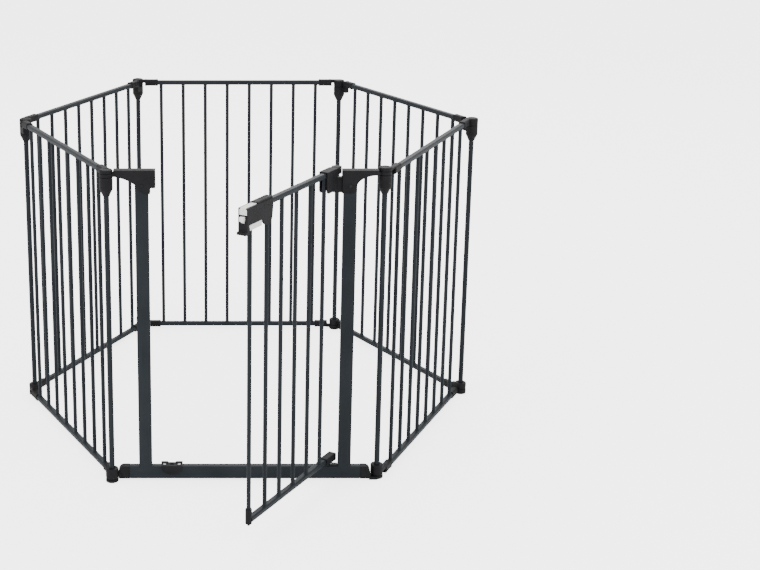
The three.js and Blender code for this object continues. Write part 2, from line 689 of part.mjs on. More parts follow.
function latchOutline() {
  const footX = LEVER_END + 1.5;
  const outline = new THREE.Shape();
  outline.moveTo(LATCH_START, 716);
  outline.lineTo(LATCH_START + 4, LATCH_LIP_TOP);
  outline.lineTo(LATCH_START + 9, LATCH_CHEEK_BOTTOM);
  outline.lineTo(LATCH_START + 20, LATCH_CHEEK_BOTTOM);
  outline.quadraticCurveTo(LEVER_START - 3, LATCH_CHEEK_BOTTOM + 2, LEVER_START - 1, LATCH_SIDE_BOTTOM);
  outline.lineTo(LATCH_END - 8, LATCH_SIDE_BOTTOM);
  outline.lineTo(LATCH_END - 8, LATCH_FOOT_TOP);
  outline.lineTo(footX, LATCH_FOOT_TOP);
  outline.lineTo(footX, LATCH_FOOT_BOTTOM);
  outline.lineTo(LATCH_LIP_END, LATCH_FOOT_BOTTOM);
  outline.lineTo(LATCH_LIP_END, LATCH_LIP_TOP);
  outline.lineTo(LATCH_END, LATCH_LIP_TOP);
  outline.lineTo(LATCH_END, LATCH_TOP);
  outline.lineTo(LATCH_START, LATCH_TOP);
  outline.lineTo(LATCH_START - 4, 741);
  return outline;
}

function latchHousing() {
  const shell = sidePlate(latchOutline(), -LATCH_HALF, LATCH_HALF);
  const end = LATCH_END + CUT;
  const railHalf = RAIL_WIDTH / 2 + GAP;
  const railSlot = box(LATCH_START - 5, DOOR_STILE + 5 + GAP, -railHalf, railHalf,
    LATCH_CHEEK_BOTTOM - CUT, DOOR_TOP_Z + RAIL_HEIGHT + GAP);
  const plateHalf = BUTTON_HALF + GAP;
  const plateRoom = box(BUTTON_START - BUTTON_TRAVEL - GAP, end, -plateHalf, plateHalf,
    DOOR_TOP_Z + RAIL_HEIGHT, LATCH_TOP + CUT);
  const faceHalf = BUTTON_FACE_HALF + GAP;
  const faceRoom = box(LATCH_END - 14, end, -faceHalf, faceHalf, BUTTON_BOTTOM - GAP, BUTTON_FACE_TOP + GAP);
  const boltHalf = BOLT_HALF + GAP;
  const boltRoom = box(BOLT_TAIL - BUTTON_TRAVEL - GAP, end, -boltHalf, boltHalf,
    BOLT_BOTTOM - GAP, BOLT_TOP + GAP);
  const padRoom = box(LATCH_END - 4, end, -PAD_HALF - GAP, PAD_HALF + GAP, PAD_BOTTOM - GAP, PAD_TOP + GAP);
  const leverHalf = LEVER_HALF + GAP;
  const leverRoom = box(LEVER_START - 1.5, LEVER_END + 1, -leverHalf, leverHalf,
    LATCH_FOOT_BOTTOM - CUT, LEVER_ROOM_TOP);
  return cut(shell, railSlot, plateRoom, faceRoom, boltRoom, padRoom, leverRoom);
}

function gripCover() {
  const cornerRadius = 6;
  const start = LATCH_START - 2;
  const slab = beam(start, GRIP_END, 0, GRIP_TOP - GRIP_HEIGHT, 2 * LATCH_HALF, GRIP_HEIGHT, cornerRadius, 4);
  const above = box(start - CUT, GRIP_END + CUT, -LATCH_HALF, LATCH_HALF, LATCH_TOP + GAP, GRIP_TOP);
  const buttonRoom = box(BUTTON_START - BUTTON_TRAVEL - GAP, GRIP_END + CUT,
    -BUTTON_HALF - GAP, BUTTON_HALF + GAP, LATCH_TOP, BUTTON_TOP + GAP);
  return cut(slab.intersect(above), buttonRoom);
}

function slideButton() {
  const end = LATCH_END - 1;
  return join(
    box(BUTTON_START, end, -BUTTON_HALF, BUTTON_HALF, DOOR_TOP_Z + RAIL_HEIGHT + GAP, BUTTON_TOP),
    box(end - 4, end, -BUTTON_FACE_HALF, BUTTON_FACE_HALF, BUTTON_BOTTOM, BUTTON_FACE_TOP));
}

function latchBolt() {
  return box(BOLT_TAIL, BOLT_TIP, -BOLT_HALF, BOLT_HALF, BOLT_BOTTOM, BOLT_TOP);
}

// The bumper in the end of the housing, below the bolt.
function latchPad() {
  return box(LATCH_END - 3.7, LATCH_END + 0.8, -PAD_HALF, PAD_HALF, PAD_BOTTOM, PAD_TOP);
}

// The coil that pushes the release lever down, between the lever and the rail.
function leverSpring() {
  const turns = 6;
  const middle = LEVER_START + 12;
  const radius = 3;
  const bottom = LEVER_TOP + 2;
  const rise = DOOR_TOP_Z - 1 - bottom;
  class Coil extends THREE.Curve {
    getPoint(t, target = new THREE.Vector3()) {
      const angle = t * turns * 2 * Math.PI;
      return target.set(middle + radius * Math.cos(angle), radius * Math.sin(angle), bottom + t * rise);
    }
  }
  const wire = new THREE.Shape();
  wire.absarc(0, 0, 0.4, 0, Math.PI * 2);
  const geometry = new THREE.ExtrudeGeometry(wire, {
    steps: turns * 10, extrudePath: new Coil(), curveSegments: 3, bevelEnabled: false,
  });
  return solid(geometry);
}

function releaseLever() {
  const strip = box(LEVER_START, LEVER_END, -LEVER_HALF, LEVER_HALF, LEVER_BOTTOM, LEVER_TOP);
  return cut(strip, upright(DOOR_STILE, 0, LEVER_BOTTOM - CUT, LEVER_TOP + CUT, BAR_RADIUS + 1.2, 12));
}

function stileCap() {
  const body = upright(DOOR_STILE, 0, DOOR_BOTTOM_Z - 3, STILE_CAP_TOP, STILE_CAP_RADIUS);
  const notch = box(DOOR_STILE - 12, DOOR_STILE, -RAIL_WIDTH / 2 - GAP, RAIL_WIDTH / 2 + GAP,
    DOOR_BOTTOM_Z - GAP, DOOR_BOTTOM_Z + RAIL_HEIGHT + GAP);
  const bore = upright(DOOR_STILE, 0, DOOR_BOTTOM_Z - 1 - GAP, STILE_CAP_TOP + CUT, BAR_RADIUS + GAP, 12);
  return cut(body, notch, bore);
}

function catchPin() {
  return upright(DOOR_STILE, 0, 44.5, DOOR_BOTTOM_Z - 3 - GAP, 2.6, 12);
}

function railEndCap() {
  const body = beam(END_CAP_BACK, END_CAP_REACH, 0, END_CAP_BOTTOM, END_CAP_SIZE + 2, END_CAP_SIZE, 3, 2);
  const socket = beam(DOOR_RAIL_START - 4 - GAP, END_CAP_REACH + CUT, 0, DOOR_BOTTOM_Z - GAP,
    RAIL_WIDTH + 2 * GAP, RAIL_HEIGHT + 2 * GAP, RAIL_CORNER);
  return cut(body, socket, upright(0, 0, END_CAP_BOTTOM - CUT, 62, PIVOT_PIN_RADIUS + 0.4, 12));
}

function buildDoor() {
  const pivot = new THREE.Group();
  pivot.position.set(DOOR_AXIS_X, 0, 0);
  pivot.rotation.z = THREE.MathUtils.degToRad(180 + DOOR_ANGLE);
  pen.add(pivot);
  place(pivot, 'door_hinge_pin', 'steel',
    upright(0, 0, LUG_BOTTOM + 2 + GAP, HINGE_PIN_TOP, HINGE_PIN_RADIUS, 12));
  place(pivot, 'lower_pivot_pin', 'steel', upright(0, 0, PIVOT_BASE_TOP + GAP, 52, PIVOT_PIN_RADIUS, 12));
  place(pivot, 'door_panel', 'painted', doorWeldment());
  place(pivot, 'door_hinge_sleeve', 'plastic', hingeSleeve());
  place(pivot, 'latch_housing', 'plastic', latchHousing());
  place(pivot, 'latch_grip_cover', 'plastic', gripCover());
  place(pivot, 'slide_button', 'white', slideButton());
  place(pivot, 'latch_bolt', 'white', latchBolt());
  place(pivot, 'latch_pad', 'white', latchPad());
  place(pivot, 'lever_spring', 'steel', leverSpring());
  place(pivot, 'release_lever', 'white', releaseLever());
  place(pivot, 'stile_cap', 'plastic', stileCap());
  place(pivot, 'catch_pin', 'plastic', catchPin());
  place(pivot, 'rail_end_cap', 'plastic', railEndCap());
}

buildFence();
buildGate();
buildDoor();

// The origin is on the floor, at the middle of the whole pen with its door ajar.
const extent = new THREE.Box3().setFromObject(pen, true);
pen.position.set(-(extent.min.x + extent.max.x) / 2, -(extent.min.y + extent.max.y) / 2, 0);

export default pen;
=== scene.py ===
"""Looks of the folding safety pen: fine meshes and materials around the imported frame.

Pieces are drawn in millimetres in the local frame of the panel that they belong to, and
placed in the row frame, in metres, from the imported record's own positions.
"""
import json
import math
import bmesh
import bpy
from mathutils import Matrix, Vector


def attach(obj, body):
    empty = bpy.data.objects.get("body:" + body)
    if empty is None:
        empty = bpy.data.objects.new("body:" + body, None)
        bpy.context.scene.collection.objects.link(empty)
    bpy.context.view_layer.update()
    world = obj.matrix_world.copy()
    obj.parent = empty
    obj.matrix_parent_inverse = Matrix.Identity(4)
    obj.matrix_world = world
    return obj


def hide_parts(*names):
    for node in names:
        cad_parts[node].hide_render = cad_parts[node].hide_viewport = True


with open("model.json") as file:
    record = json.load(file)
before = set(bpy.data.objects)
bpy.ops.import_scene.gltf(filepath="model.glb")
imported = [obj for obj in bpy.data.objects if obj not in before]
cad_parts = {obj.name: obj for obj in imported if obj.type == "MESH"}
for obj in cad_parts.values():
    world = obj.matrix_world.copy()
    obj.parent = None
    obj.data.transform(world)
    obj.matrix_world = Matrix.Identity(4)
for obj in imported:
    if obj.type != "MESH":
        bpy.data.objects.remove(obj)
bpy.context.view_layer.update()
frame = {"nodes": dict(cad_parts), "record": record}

MM = 0.001
RECORD = frame["record"]
GAP = 0.3  # between pieces that touch
CUT = 1  # how far a cutting solid reaches past the surface that it opens

# Pen layout, the same driving dimensions as the frame, in millimetres
PANEL_SPAN = 572  # post axis to post axis of a fence panel
GATE_SPAN = 618  # post axis to post axis of the gate panel
HINGE_OFFSET = 9  # post axis to the centre line of a fence panel
GATE_HINGE_OFFSET = 13  # the same at the gate's hinge side
PANEL_LENGTH = math.sqrt(PANEL_SPAN ** 2 - (2 * HINGE_OFFSET) ** 2)
DOOR_AXIS_X = 200
DOOR_ANGLE = 58  # how far the door stands open, in degrees

# Rails, bars and posts
RAIL_WIDTH = 15
RAIL_HEIGHT = 12
RAIL_CORNER = 3.5
TOP_RAIL_Z = 733  # underside of the top rails
BOTTOM_RAIL_Z = 6  # underside of the bottom rails
BAR_RADIUS = 4.75
BAR_COUNT = 8
FIRST_BAR = 66.6  # from the corner to the first bar
POST_RADIUS = 6.35
POST_BOTTOM = 4
POST_TOP = 743
POST_CHAMFER = 0.6
BORE_RADIUS = POST_RADIUS + 0.35
WELD_HEIGHT = 2.4
WELD_REACH = 1.7  # how far a weld stands out round its bar
WELD_SINK = 4  # how far a bar's end goes into its rail

# Corner mouldings
HUB_RADIUS = 15
HUB_BOTTOM = 690
HUB_TAPER_TOP = 706
HUB_SKIRT_RADIUS = 8
HUB_TOP = 729.5
FRONT_HUB_TOP = 733.5
RING_BOTTOM = 734
RING_TOP = 742
FRONT_CAP_BOTTOM = 742.5
FRONT_CAP_TOP = 751
FRONT_POST_TOP = 747
HUB_GROOVE_Z = 713
CAP_BOTTOM = 730
CAP_TOP = 748
CUP_TOP = 30
CUP_BOTTOM = 13.5
DEEP_CUP_BOTTOM = 7.5
DEEP_CUP_TOP = 33.5
FOOT_TOP = 13
THIN_FOOT_TOP = 7
CUFF_START = 21
CUFF_END = 57.5
CUFF_WIDTH = 17.4
CUFF_MARGIN = 3  # cuff wall above and below its rail
CUFF_STEP = 0.6  # how much thinner a cuff is between its lips
CUFF_RADIUS = 4
CUFF_LIP_RADIUS = 4.2
ARM_WIDTH = 13
ARM_CORNER = 2
CAP_ARM_BOTTOM = 739
HUB_ARM_BOTTOM = 714
HUB_ARM_TOP = 729
HUB_TIE_START = 17  # the tie up to the cuff, clear of the cap's disc
HUB_TIE_TOP = 737
CUP_ARM_BOTTOM = 14.5
CUP_ARM_TOP = 26
FOOT_ARM_BOTTOM = 2
FOOT_ARM_TOP = 10.5
RAIL_BITE = 4  # how far a rail reaches into its cuff

# Gate frame
UPRIGHT_X = 231  # gate's middle to an upright's middle
UPRIGHT_WIDTH = 30
FRAME_DEPTH = 18
FRAME_CORNER = 2.6
UPRIGHT_TOP = 736
THRESHOLD_BOTTOM = 5
THRESHOLD_TOP = 36
THRESHOLD_END = 268
LEFT_POST_BOTTOM = 10  # the gate's own post stands inside its cup and under the cap
OUTER_EDGE = UPRIGHT_X + UPRIGHT_WIDTH / 2

# Gate brackets
BRACKET_DEPTH = 22
BRACKET_TOP = 748
BRACKET_REACH = 293  # gate's middle to the end of a bracket's body
BRACKET_ROOM_BOTTOM = 680  # below both brackets
NECK_START = 289  # gate's middle to the bridge between a bracket and its ring
NECK_END = 297
SHOULDER_Z = 715  # underside where a bracket leaves its upright
STRIKE_ARM_Z = 734  # underside at the ring
STRIKE_FACE_X = -200.4  # face beside the shut door's latch
STRIKE_PLATE_BOTTOM = 707.6
STRIKE_STEP_X = -212
STRIKE_BOTTOM = 694
STRIKE_POCKET_DEPTH = 8.6
STRIKE_POCKET_ROOM = 1  # round the bolt
STRIKE_GROOVE = 1.2
HINGE_ARM_Z = 737
HINGE_FACE_X = 212.6
HINGE_BRACKET_BOTTOM = 696
LUG_RADIUS = 9
LUG_BOTTOM = 697
LUG_FLOOR = 2  # under the hinge pin
LUG_TOP = 731.5
LUG_WEB_HALF = 7
SCREW_Z = 713
SCREW_RADIUS = 3.5
CROSS_REACH = 2.2  # half length of a cross slot's arm
CROSS_HALF = 0.4  # half its width

# Threshold fittings
END_PIECE_X = 292
END_PIECE_CORNER = 14
LEFT_END_PIECE_X = 294.5
CATCH_REACH = 25  # along the threshold, from the pin's hole
CATCH_EAR = 16
CATCH_EAR_HEIGHT = 4.5
CATCH_HALF = 12  # across the threshold
CATCH_HOLE_RADIUS = 4.5
CATCH_DECK = THRESHOLD_TOP + 2.3
CATCH_SKIRT_BOTTOM = 17
DECK_SCREW_Y = -3
PIVOT_BASE_HALF = 7
PIVOT_BASE_RADIUS = 8
PIVOT_BASE_START = DOOR_AXIS_X - 12
PIVOT_BASE_TOP = THRESHOLD_TOP + 3

# Door, along the door from its hinge axis
DOOR_STILE = 370
DOOR_SECOND_BAR = 303
DOOR_BAR_PITCH = 61.5
DOOR_BAR_COUNT = 5  # besides the stile
DOOR_TOP_Z = 741  # underside of the top rail
DOOR_BOTTOM_Z = 52  # underside of the bottom rail
DOOR_RAIL_TOP = DOOR_TOP_Z + RAIL_HEIGHT
DOOR_RAIL_START = 34
DOOR_LOW_RAIL_START = 30
DOOR_DROP = 8  # how far the door drops over its catch
RAIL_ROOM = RAIL_WIDTH / 2 + GAP
CATCH_X = DOOR_AXIS_X - DOOR_STILE  # under the stile when the door is shut

# Door's hinge fittings
SLEEVE_START = 13
SLEEVE_END = 61
SLEEVE_BOTTOM = 706
SLEEVE_TOP = 755.5
SLEEVE_CORNER = 9
SLEEVE_GROOVE_Z = 722
BARREL_RADIUS = 11.2
BARREL_BOTTOM = 740
HINGE_PIN_RADIUS = 3
HINGE_PIN_TOP = 746
PIVOT_PIN_RADIUS = 4
PIVOT_PIN_TOP = 52
PIN_CHAMFER = 0.5
END_CAP_REACH = 36
END_CAP_BACK = -8
END_CAP_MIDDLE = 57
END_CAP_WIDTH = 20
END_CAP_HEIGHT = 18
END_CAP_CORNER = 3
END_CAP_SEAM = 26
END_CAP_SEAM_DEPTH = 0.6

# Latch, at the door's free end
LATCH_START = 298
LATCH_END = 398
LATCH_HALF = 11
LATCH_TOP = 756
LATCH_SIDE_BOTTOM = 719.5
LATCH_CHEEK_BOTTOM = 703
LATCH_FOOT_BOTTOM = 700.5
LATCH_FOOT_TOP = 714
LATCH_LIP_TOP = 706.8  # the foot's lip passes under the strike bracket
LATCH_LIP_END = 404
LATCH_HEEL_TOP = 716
LATCH_GROOVE_Z = 745
GRIP_END = 355
GRIP_HEIGHT = 14
GRIP_CORNER = 6
GRIP_TOP = 760
GRIP_GROOVES = (312, 320, 328)
BUTTON_START = 352
BUTTON_TOP = 757
BUTTON_BOTTOM = 741.5
BUTTON_HALF = 6.5
BUTTON_FACE_HALF = 9
BUTTON_FACE_TOP = 753.7
BUTTON_ROOM_START = BUTTON_START - 7.5  # clear of the button when it is drawn back
BUTTON_GROOVES = (378, 382, 386)
BOLT_BOTTOM = 729.5
BOLT_TOP = 738.5
BOLT_HALF = 5
BOLT_ROOM = 0.7  # round the bolt, inside the housing
BOLT_ROOM_START = 383
BOLT_TAIL = 390.5
BOLT_TIP = LATCH_END + 7
PAD_BOTTOM = 725
PAD_TOP = 728
PAD_HALF = 4
LEVER_START = 338
LEVER_END = 386
LEVER_BOTTOM = 707
LEVER_TOP = 720.5
LEVER_HALF = 9
LEVER_ROOM_TOP = 724.6
SPRING_START = LEVER_TOP + 2.2
SPRING_END = DOOR_TOP_Z - 1.4
SPRING_RADIUS = 3
SPRING_WIRE = 0.38
SPRING_TURNS = 6
STILE_CAP_BOTTOM = 49
STILE_CAP_TOP = 84.6
STILE_CAP_RADIUS = 7.3
CATCH_PIN_RADIUS = 2.6
CATCH_PIN_BOTTOM = 44.5
CATCH_PIN_TOP = 48.7


# ---- Outlines ----------------------------------------------------------------------

def arc(cx, cy, radius, start, end, steps=8):
    """Points of an arc, with its angles in degrees."""
    angles = [math.radians(start + (end - start) * i / steps) for i in range(steps + 1)]
    return [(cx + radius * math.cos(a), cy + radius * math.sin(a)) for a in angles]


def bend(p0, p1, p2):
    """Points of a quadratic curve from p0 to p2, pulled towards p1."""
    steps = 12
    points = []
    for i in range(steps + 1):
        t = i / steps
        weights = ((1 - t) ** 2, 2 * t * (1 - t), t ** 2)
        points.append(tuple(sum(w * p[k] for w, p in zip(weights, (p0, p1, p2))) for k in (0, 1)))
    return points


def rounded_rect(cx, cy, width, height, radius):
    w = width / 2 - radius
    h = height / 2 - radius
    outline = []
    for quarter, (sx, sy) in enumerate(((1, 1), (-1, 1), (-1, -1), (1, -1))):
        outline += arc(cx + sx * w, cy + sy * h, radius, 90 * quarter, 90 * (quarter + 1), 6)
    return outline


# ---- Solids, in local millimetres --------------------------------------------------

def solid_object(vertices, faces):
    mesh = bpy.data.meshes.new("solid")
    mesh.from_pydata(vertices, [], faces)
    work = bmesh.new()
    work.from_mesh(mesh)
    bmesh.ops.remove_doubles(work, verts=work.verts, dist=1e-5)
    bmesh.ops.recalc_face_normals(work, faces=work.faces)
    work.to_mesh(mesh)
    work.free()
    obj = bpy.data.objects.new("solid", mesh)
    bpy.context.scene.collection.objects.link(obj)
    return obj


def prism(outline, axis, low, high):
    """A closed outline pushed along an axis; the outline's pair is the two other axes in order."""
    spots = {
        "x": lambda u, v, w: (w, u, v),
        "y": lambda u, v, w: (u, w, v),
        "z": lambda u, v, w: (u, v, w),
    }[axis]
    count = len(outline)
    vertices = [spots(u, v, w) for w in (low, high) for u, v in outline]
    sides = [(i, (i + 1) % count, count + (i + 1) % count, count + i) for i in range(count)]
    ends = [tuple(range(count))[::-1], tuple(range(count, 2 * count))]
    return solid_object(vertices, sides + ends)


def block(x0, x1, y0, y1, z0, z1, radius=0.0, axis="z"):
    """A box, with the edges along one axis rounded."""
    low, high = {"x": (x0, x1), "y": (y0, y1), "z": (z0, z1)}[axis]
    spans = {"x": (y0, y1, z0, z1), "y": (x0, x1, z0, z1), "z": (x0, x1, y0, y1)}[axis]
    u0, u1, v0, v1 = spans
    if radius:
        outline = rounded_rect((u0 + u1) / 2, (v0 + v1) / 2, u1 - u0, v1 - v0, radius)
    else:
        outline = [(u0, v0), (u1, v0), (u1, v1), (u0, v1)]
    return prism(outline, axis, low, high)


def turned(x, y, profile, sides=64):
    """A vertical turned solid from (radius, z) points that start and end on the axis."""
    vertices = []
    rings = []
    for radius, z in profile:
        if radius == 0:
            rings.append([len(vertices)] * sides)
            vertices.append((x, y, z))
            continue
        first = len(vertices)
        rings.append([first + i for i in range(sides)])
        for i in range(sides):
            angle = 2 * math.pi * i / sides
            vertices.append((x + radius * math.cos(angle), y + radius * math.sin(angle), z))
    faces = []
    for lower, upper in zip(rings, rings[1:]):
        for i in range(sides):
            j = (i + 1) % sides
            corners = [lower[i], lower[j], upper[j], upper[i]]
            faces.append(tuple(dict.fromkeys(corners)))
    return solid_object(vertices, faces)


def upright(x, y, z0, z1, radius, chamfer=0.0, sides=48):
    """A vertical cylinder, with both rims chamfered if a chamfer is given."""
    if chamfer:
        profile = [(0, z0), (radius - chamfer, z0), (radius, z0 + chamfer), (radius, z1 - chamfer),
                   (radius - chamfer, z1), (0, z1)]
    else:
        profile = [(0, z0), (radius, z0), (radius, z1), (0, z1)]
    return turned(x, y, profile, sides)


def lying_pin(x, y, z, radius, length, sides=24):
    """A round pin along y, centred on a point."""
    outline = arc(x, z, radius, 0, 360, sides)[:-1]
    return prism(outline, "y", y - length / 2, y + length / 2)


# ---- Joining and finishing ---------------------------------------------------------

def baked(obj):
    """The object with its modifiers applied."""
    bpy.context.view_layer.update()
    graph = bpy.context.evaluated_depsgraph_get()
    mesh = bpy.data.meshes.new_from_object(obj.evaluated_get(graph))
    obj.modifiers.clear()
    obj.data = mesh
    return obj


def combine(base, add=(), cut=()):
    """Joins solids to the base and cuts others out of it."""
    for operation, others in (("UNION", add), ("DIFFERENCE", cut)):
        for other in others:
            boolean = base.modifiers.new("boolean", "BOOLEAN")
            boolean.operation = operation
            boolean.object = other
            boolean.solver = "MANIFOLD"
    baked(base)
    for other in (*add, *cut):
        bpy.data.objects.remove(other)
    return base


def moulded(obj, grain=0.8, passes=3):
    """Softens every edge and inner corner as a plastic moulding has them."""
    remesh = obj.modifiers.new("remesh", "REMESH")
    remesh.mode = "VOXEL"
    remesh.voxel_size = grain
    smooth = obj.modifiers.new("smooth", "SMOOTH")
    smooth.factor = 0.5
    smooth.iterations = passes
    baked(obj)
    obj.data.polygons.foreach_set("use_smooth", [True] * len(obj.data.polygons))
    return obj


def crisp(obj, width=0, segments=2):
    """Bevels a firm piece's edges, if a width is given, and shades its round sides smooth."""
    sharp = math.radians(40)
    if width:
        bevel = obj.modifiers.new("bevel", "BEVEL")
        bevel.width = width
        bevel.segments = segments
        bevel.limit_method = "ANGLE"
        bevel.angle_limit = sharp
        baked(obj)
    obj.data.polygons.foreach_set("use_smooth", [True] * len(obj.data.polygons))
    obj.data.set_sharp_from_angle(angle=sharp)
    return obj


def install(obj, name, place, body, finish, *nodes):
    """Puts a finished piece in the row frame, on its body, in place of CAD nodes."""
    obj.data.transform(place @ Matrix.Scale(MM, 4))
    obj.name = name
    obj.data.name = name
    obj.data.materials.clear()
    obj.data.materials.append(MATERIALS[finish])
    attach(obj, body)
    if nodes:
        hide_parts(*nodes)


# ---- Materials ---------------------------------------------------------------------

def node_tree(name):
    material = bpy.data.materials.new(name)
    material.use_nodes = True
    tree = material.node_tree
    return material, tree, tree.nodes["Principled BSDF"]


def add_noise(tree, scale, detail=4.0, roughness=0.5):
    """Noise over the object's own metres."""
    coordinates = tree.nodes.new("ShaderNodeTexCoord")
    noise = tree.nodes.new("ShaderNodeTexNoise")
    noise.inputs["Scale"].default_value = scale
    noise.inputs["Detail"].default_value = detail
    noise.inputs["Roughness"].default_value = roughness
    tree.links.new(coordinates.outputs["Object"], noise.inputs["Vector"])
    return noise


def ramp_between(tree, source, low, high):
    """Maps the middle of a 0 to 1 noise to a range of colours."""
    ramp = tree.nodes.new("ShaderNodeValToRGB")
    for element, position, colour in zip(ramp.color_ramp.elements, (0.35, 0.65), (low, high)):
        element.position = position
        element.color = (*colour, 1)
    tree.links.new(source, ramp.inputs["Fac"])
    return ramp.outputs["Color"]


def spread(tree, source, low, high):
    """Maps the middle of a 0 to 1 noise to a range of values."""
    mapped = tree.nodes.new("ShaderNodeMapRange")
    mapped.inputs["From Min"].default_value = 0.3
    mapped.inputs["From Max"].default_value = 0.7
    mapped.inputs["To Min"].default_value = low
    mapped.inputs["To Max"].default_value = high
    tree.links.new(source, mapped.inputs["Value"])
    return mapped.outputs["Result"]


def add_bump(tree, shader, heights, distance, strength):
    """Chains one bump for each height."""
    normal = None
    for height in heights:
        bump = tree.nodes.new("ShaderNodeBump")
        bump.inputs["Strength"].default_value = strength
        bump.inputs["Distance"].default_value = distance
        tree.links.new(height, bump.inputs["Height"])
        if normal is not None:
            tree.links.new(normal, bump.inputs["Normal"])
        normal = bump.outputs["Normal"]
    tree.links.new(normal, shader.inputs["Normal"])


def powder_coat():
    """Satin charcoal coat with a soft orange peel, a fine grain and slight drifts of tone."""
    material, tree, shader = node_tree("painted_steel")
    drift = add_noise(tree, scale=9, detail=3)
    peel = add_noise(tree, scale=420, detail=3, roughness=0.55)
    grain = add_noise(tree, scale=2600, detail=2)
    tone = ramp_between(tree, drift.outputs["Fac"], (0.0115, 0.0148, 0.0186), (0.0165, 0.0205, 0.0250))
    tree.links.new(tone, shader.inputs["Base Color"])
    tree.links.new(spread(tree, peel.outputs["Fac"], 0.34, 0.46), shader.inputs["Roughness"])
    add_bump(tree, shader, (peel.outputs["Fac"], grain.outputs["Fac"]), distance=0.00004, strength=0.4)
    shader.inputs["IOR"].default_value = 1.24
    return material


def dark_plastic():
    """Warm charcoal nylon with a fine spark-eroded grain."""
    material, tree, shader = node_tree("dark_plastic")
    drift = add_noise(tree, scale=30)
    grain = add_noise(tree, scale=1700, roughness=0.7)
    fine = add_noise(tree, scale=5200, detail=2)
    tone = ramp_between(tree, drift.outputs["Fac"], (0.0074, 0.0072, 0.0085), (0.0108, 0.0105, 0.0122))
    tree.links.new(tone, shader.inputs["Base Color"])
    tree.links.new(spread(tree, grain.outputs["Fac"], 0.44, 0.60), shader.inputs["Roughness"])
    add_bump(tree, shader, (grain.outputs["Fac"], fine.outputs["Fac"]), distance=0.00010, strength=0.6)
    shader.inputs["IOR"].default_value = 1.24
    return material


def white_plastic():
    """Off-white acetal, faintly mottled, with light rub marks."""
    material, tree, shader = node_tree("white_plastic")
    drift = add_noise(tree, scale=60)
    rub = add_noise(tree, scale=800, detail=3, roughness=0.6)
    tone = ramp_between(tree, drift.outputs["Fac"], (0.86, 0.85, 0.83), (0.93, 0.925, 0.91))
    tree.links.new(tone, shader.inputs["Base Color"])
    tree.links.new(spread(tree, rub.outputs["Fac"], 0.32, 0.48), shader.inputs["Roughness"])
    add_bump(tree, shader, (rub.outputs["Fac"],), distance=0.00006, strength=0.4)
    shader.inputs["Subsurface Weight"].default_value = 0.05
    shader.inputs["Subsurface Scale"].default_value = 0.002
    return material


def bare_steel():
    """Zinc plate with a fine grain and cloudy patches."""
    material, tree, shader = node_tree("bare_steel")
    cloud = add_noise(tree, scale=160)
    grain = add_noise(tree, scale=2400, detail=2)
    tone = ramp_between(tree, cloud.outputs["Fac"], (0.42, 0.43, 0.45), (0.60, 0.61, 0.63))
    tree.links.new(tone, shader.inputs["Base Color"])
    tree.links.new(spread(tree, grain.outputs["Fac"], 0.24, 0.42), shader.inputs["Roughness"])
    add_bump(tree, shader, (grain.outputs["Fac"],), distance=0.00004, strength=0.5)
    shader.inputs["Metallic"].default_value = 1.0
    return material


MATERIALS = {
    "painted_steel": powder_coat(),
    "dark_plastic": dark_plastic(),
    "white_plastic": white_plastic(),
    "bare_steel": bare_steel(),
}


# ---- Local frames ------------------------------------------------------------------

def corner(name):
    """Where a corner stands on the floor, from the record's mounts."""
    mount = next(m for m in RECORD["mounts"] if m["name"] == f"rest_{name}")
    return Vector(mount["pos_m"])


def shifted(place, x, y):
    """The same frame, moved along its own axes by millimetres."""
    return place @ Matrix.Translation((x * MM, y * MM, 0))


def gate_place():
    offset = Vector((GATE_SPAN / 2, GATE_HINGE_OFFSET, 0)) * MM
    return Matrix.Translation(corner("front_right") - offset)


def panel_place(start, end, side):
    """X along the rails from beside the first corner, which is at y = side."""
    along = corner(end) - corner(start)
    angle = math.atan2(along.y, along.x) + math.atan2(2 * side, PANEL_LENGTH)
    spin = Matrix.Rotation(angle, 4, "Z")
    return shifted(Matrix.Translation(corner(start)) @ spin, 0, -side)


def far_end(place):
    """The same frame, turned to draw the panel's other end."""
    return shifted(place, PANEL_LENGTH, 0) @ Matrix.Rotation(math.pi, 4, "Z")


GATE = gate_place()
DOOR = shifted(GATE, DOOR_AXIS_X, 0) @ Matrix.Rotation(math.radians(180 + DOOR_ANGLE), 4, "Z")


# ---- Welded frames -----------------------------------------------------------------

def rail(x0, x1, z):
    """A rounded tube along x, from its underside up."""
    outline = rounded_rect(0, z + RAIL_HEIGHT / 2, RAIL_WIDTH, RAIL_HEIGHT, RAIL_CORNER)
    return prism(outline, "x", x0, x1)


def welded_bar(x, low_rail_top, high_rail_bottom):
    """A round bar that flares at both ends into its weld."""
    steps = 5
    flare = []
    for i in range(steps + 1):
        a = math.radians(90 * i / steps)
        flare.append((BAR_RADIUS + WELD_REACH * (1 - math.sin(a)), WELD_HEIGHT * (1 - math.cos(a))))
    foot = low_rail_top - WELD_SINK
    head = high_rail_bottom + WELD_SINK
    profile = [(0, foot), (BAR_RADIUS + WELD_REACH, foot)]
    profile += [(radius, low_rail_top + rise) for radius, rise in flare]
    profile += [(radius, high_rail_bottom - rise) for radius, rise in reversed(flare)]
    profile += [(BAR_RADIUS + WELD_REACH, head), (0, head)]
    return turned(x, 0, profile, 32)


def fence_weldment():
    reach = CUFF_END - RAIL_BITE
    top = rail(reach, PANEL_LENGTH - reach, TOP_RAIL_Z)
    bottom = rail(reach, PANEL_LENGTH - reach, BOTTOM_RAIL_Z)
    pitch = (PANEL_LENGTH - 2 * FIRST_BAR) / (BAR_COUNT - 1)
    bars = [welded_bar(FIRST_BAR + i * pitch, BOTTOM_RAIL_Z + RAIL_HEIGHT, TOP_RAIL_Z)
            for i in range(BAR_COUNT)]
    return crisp(combine(top, [bottom, *bars]))


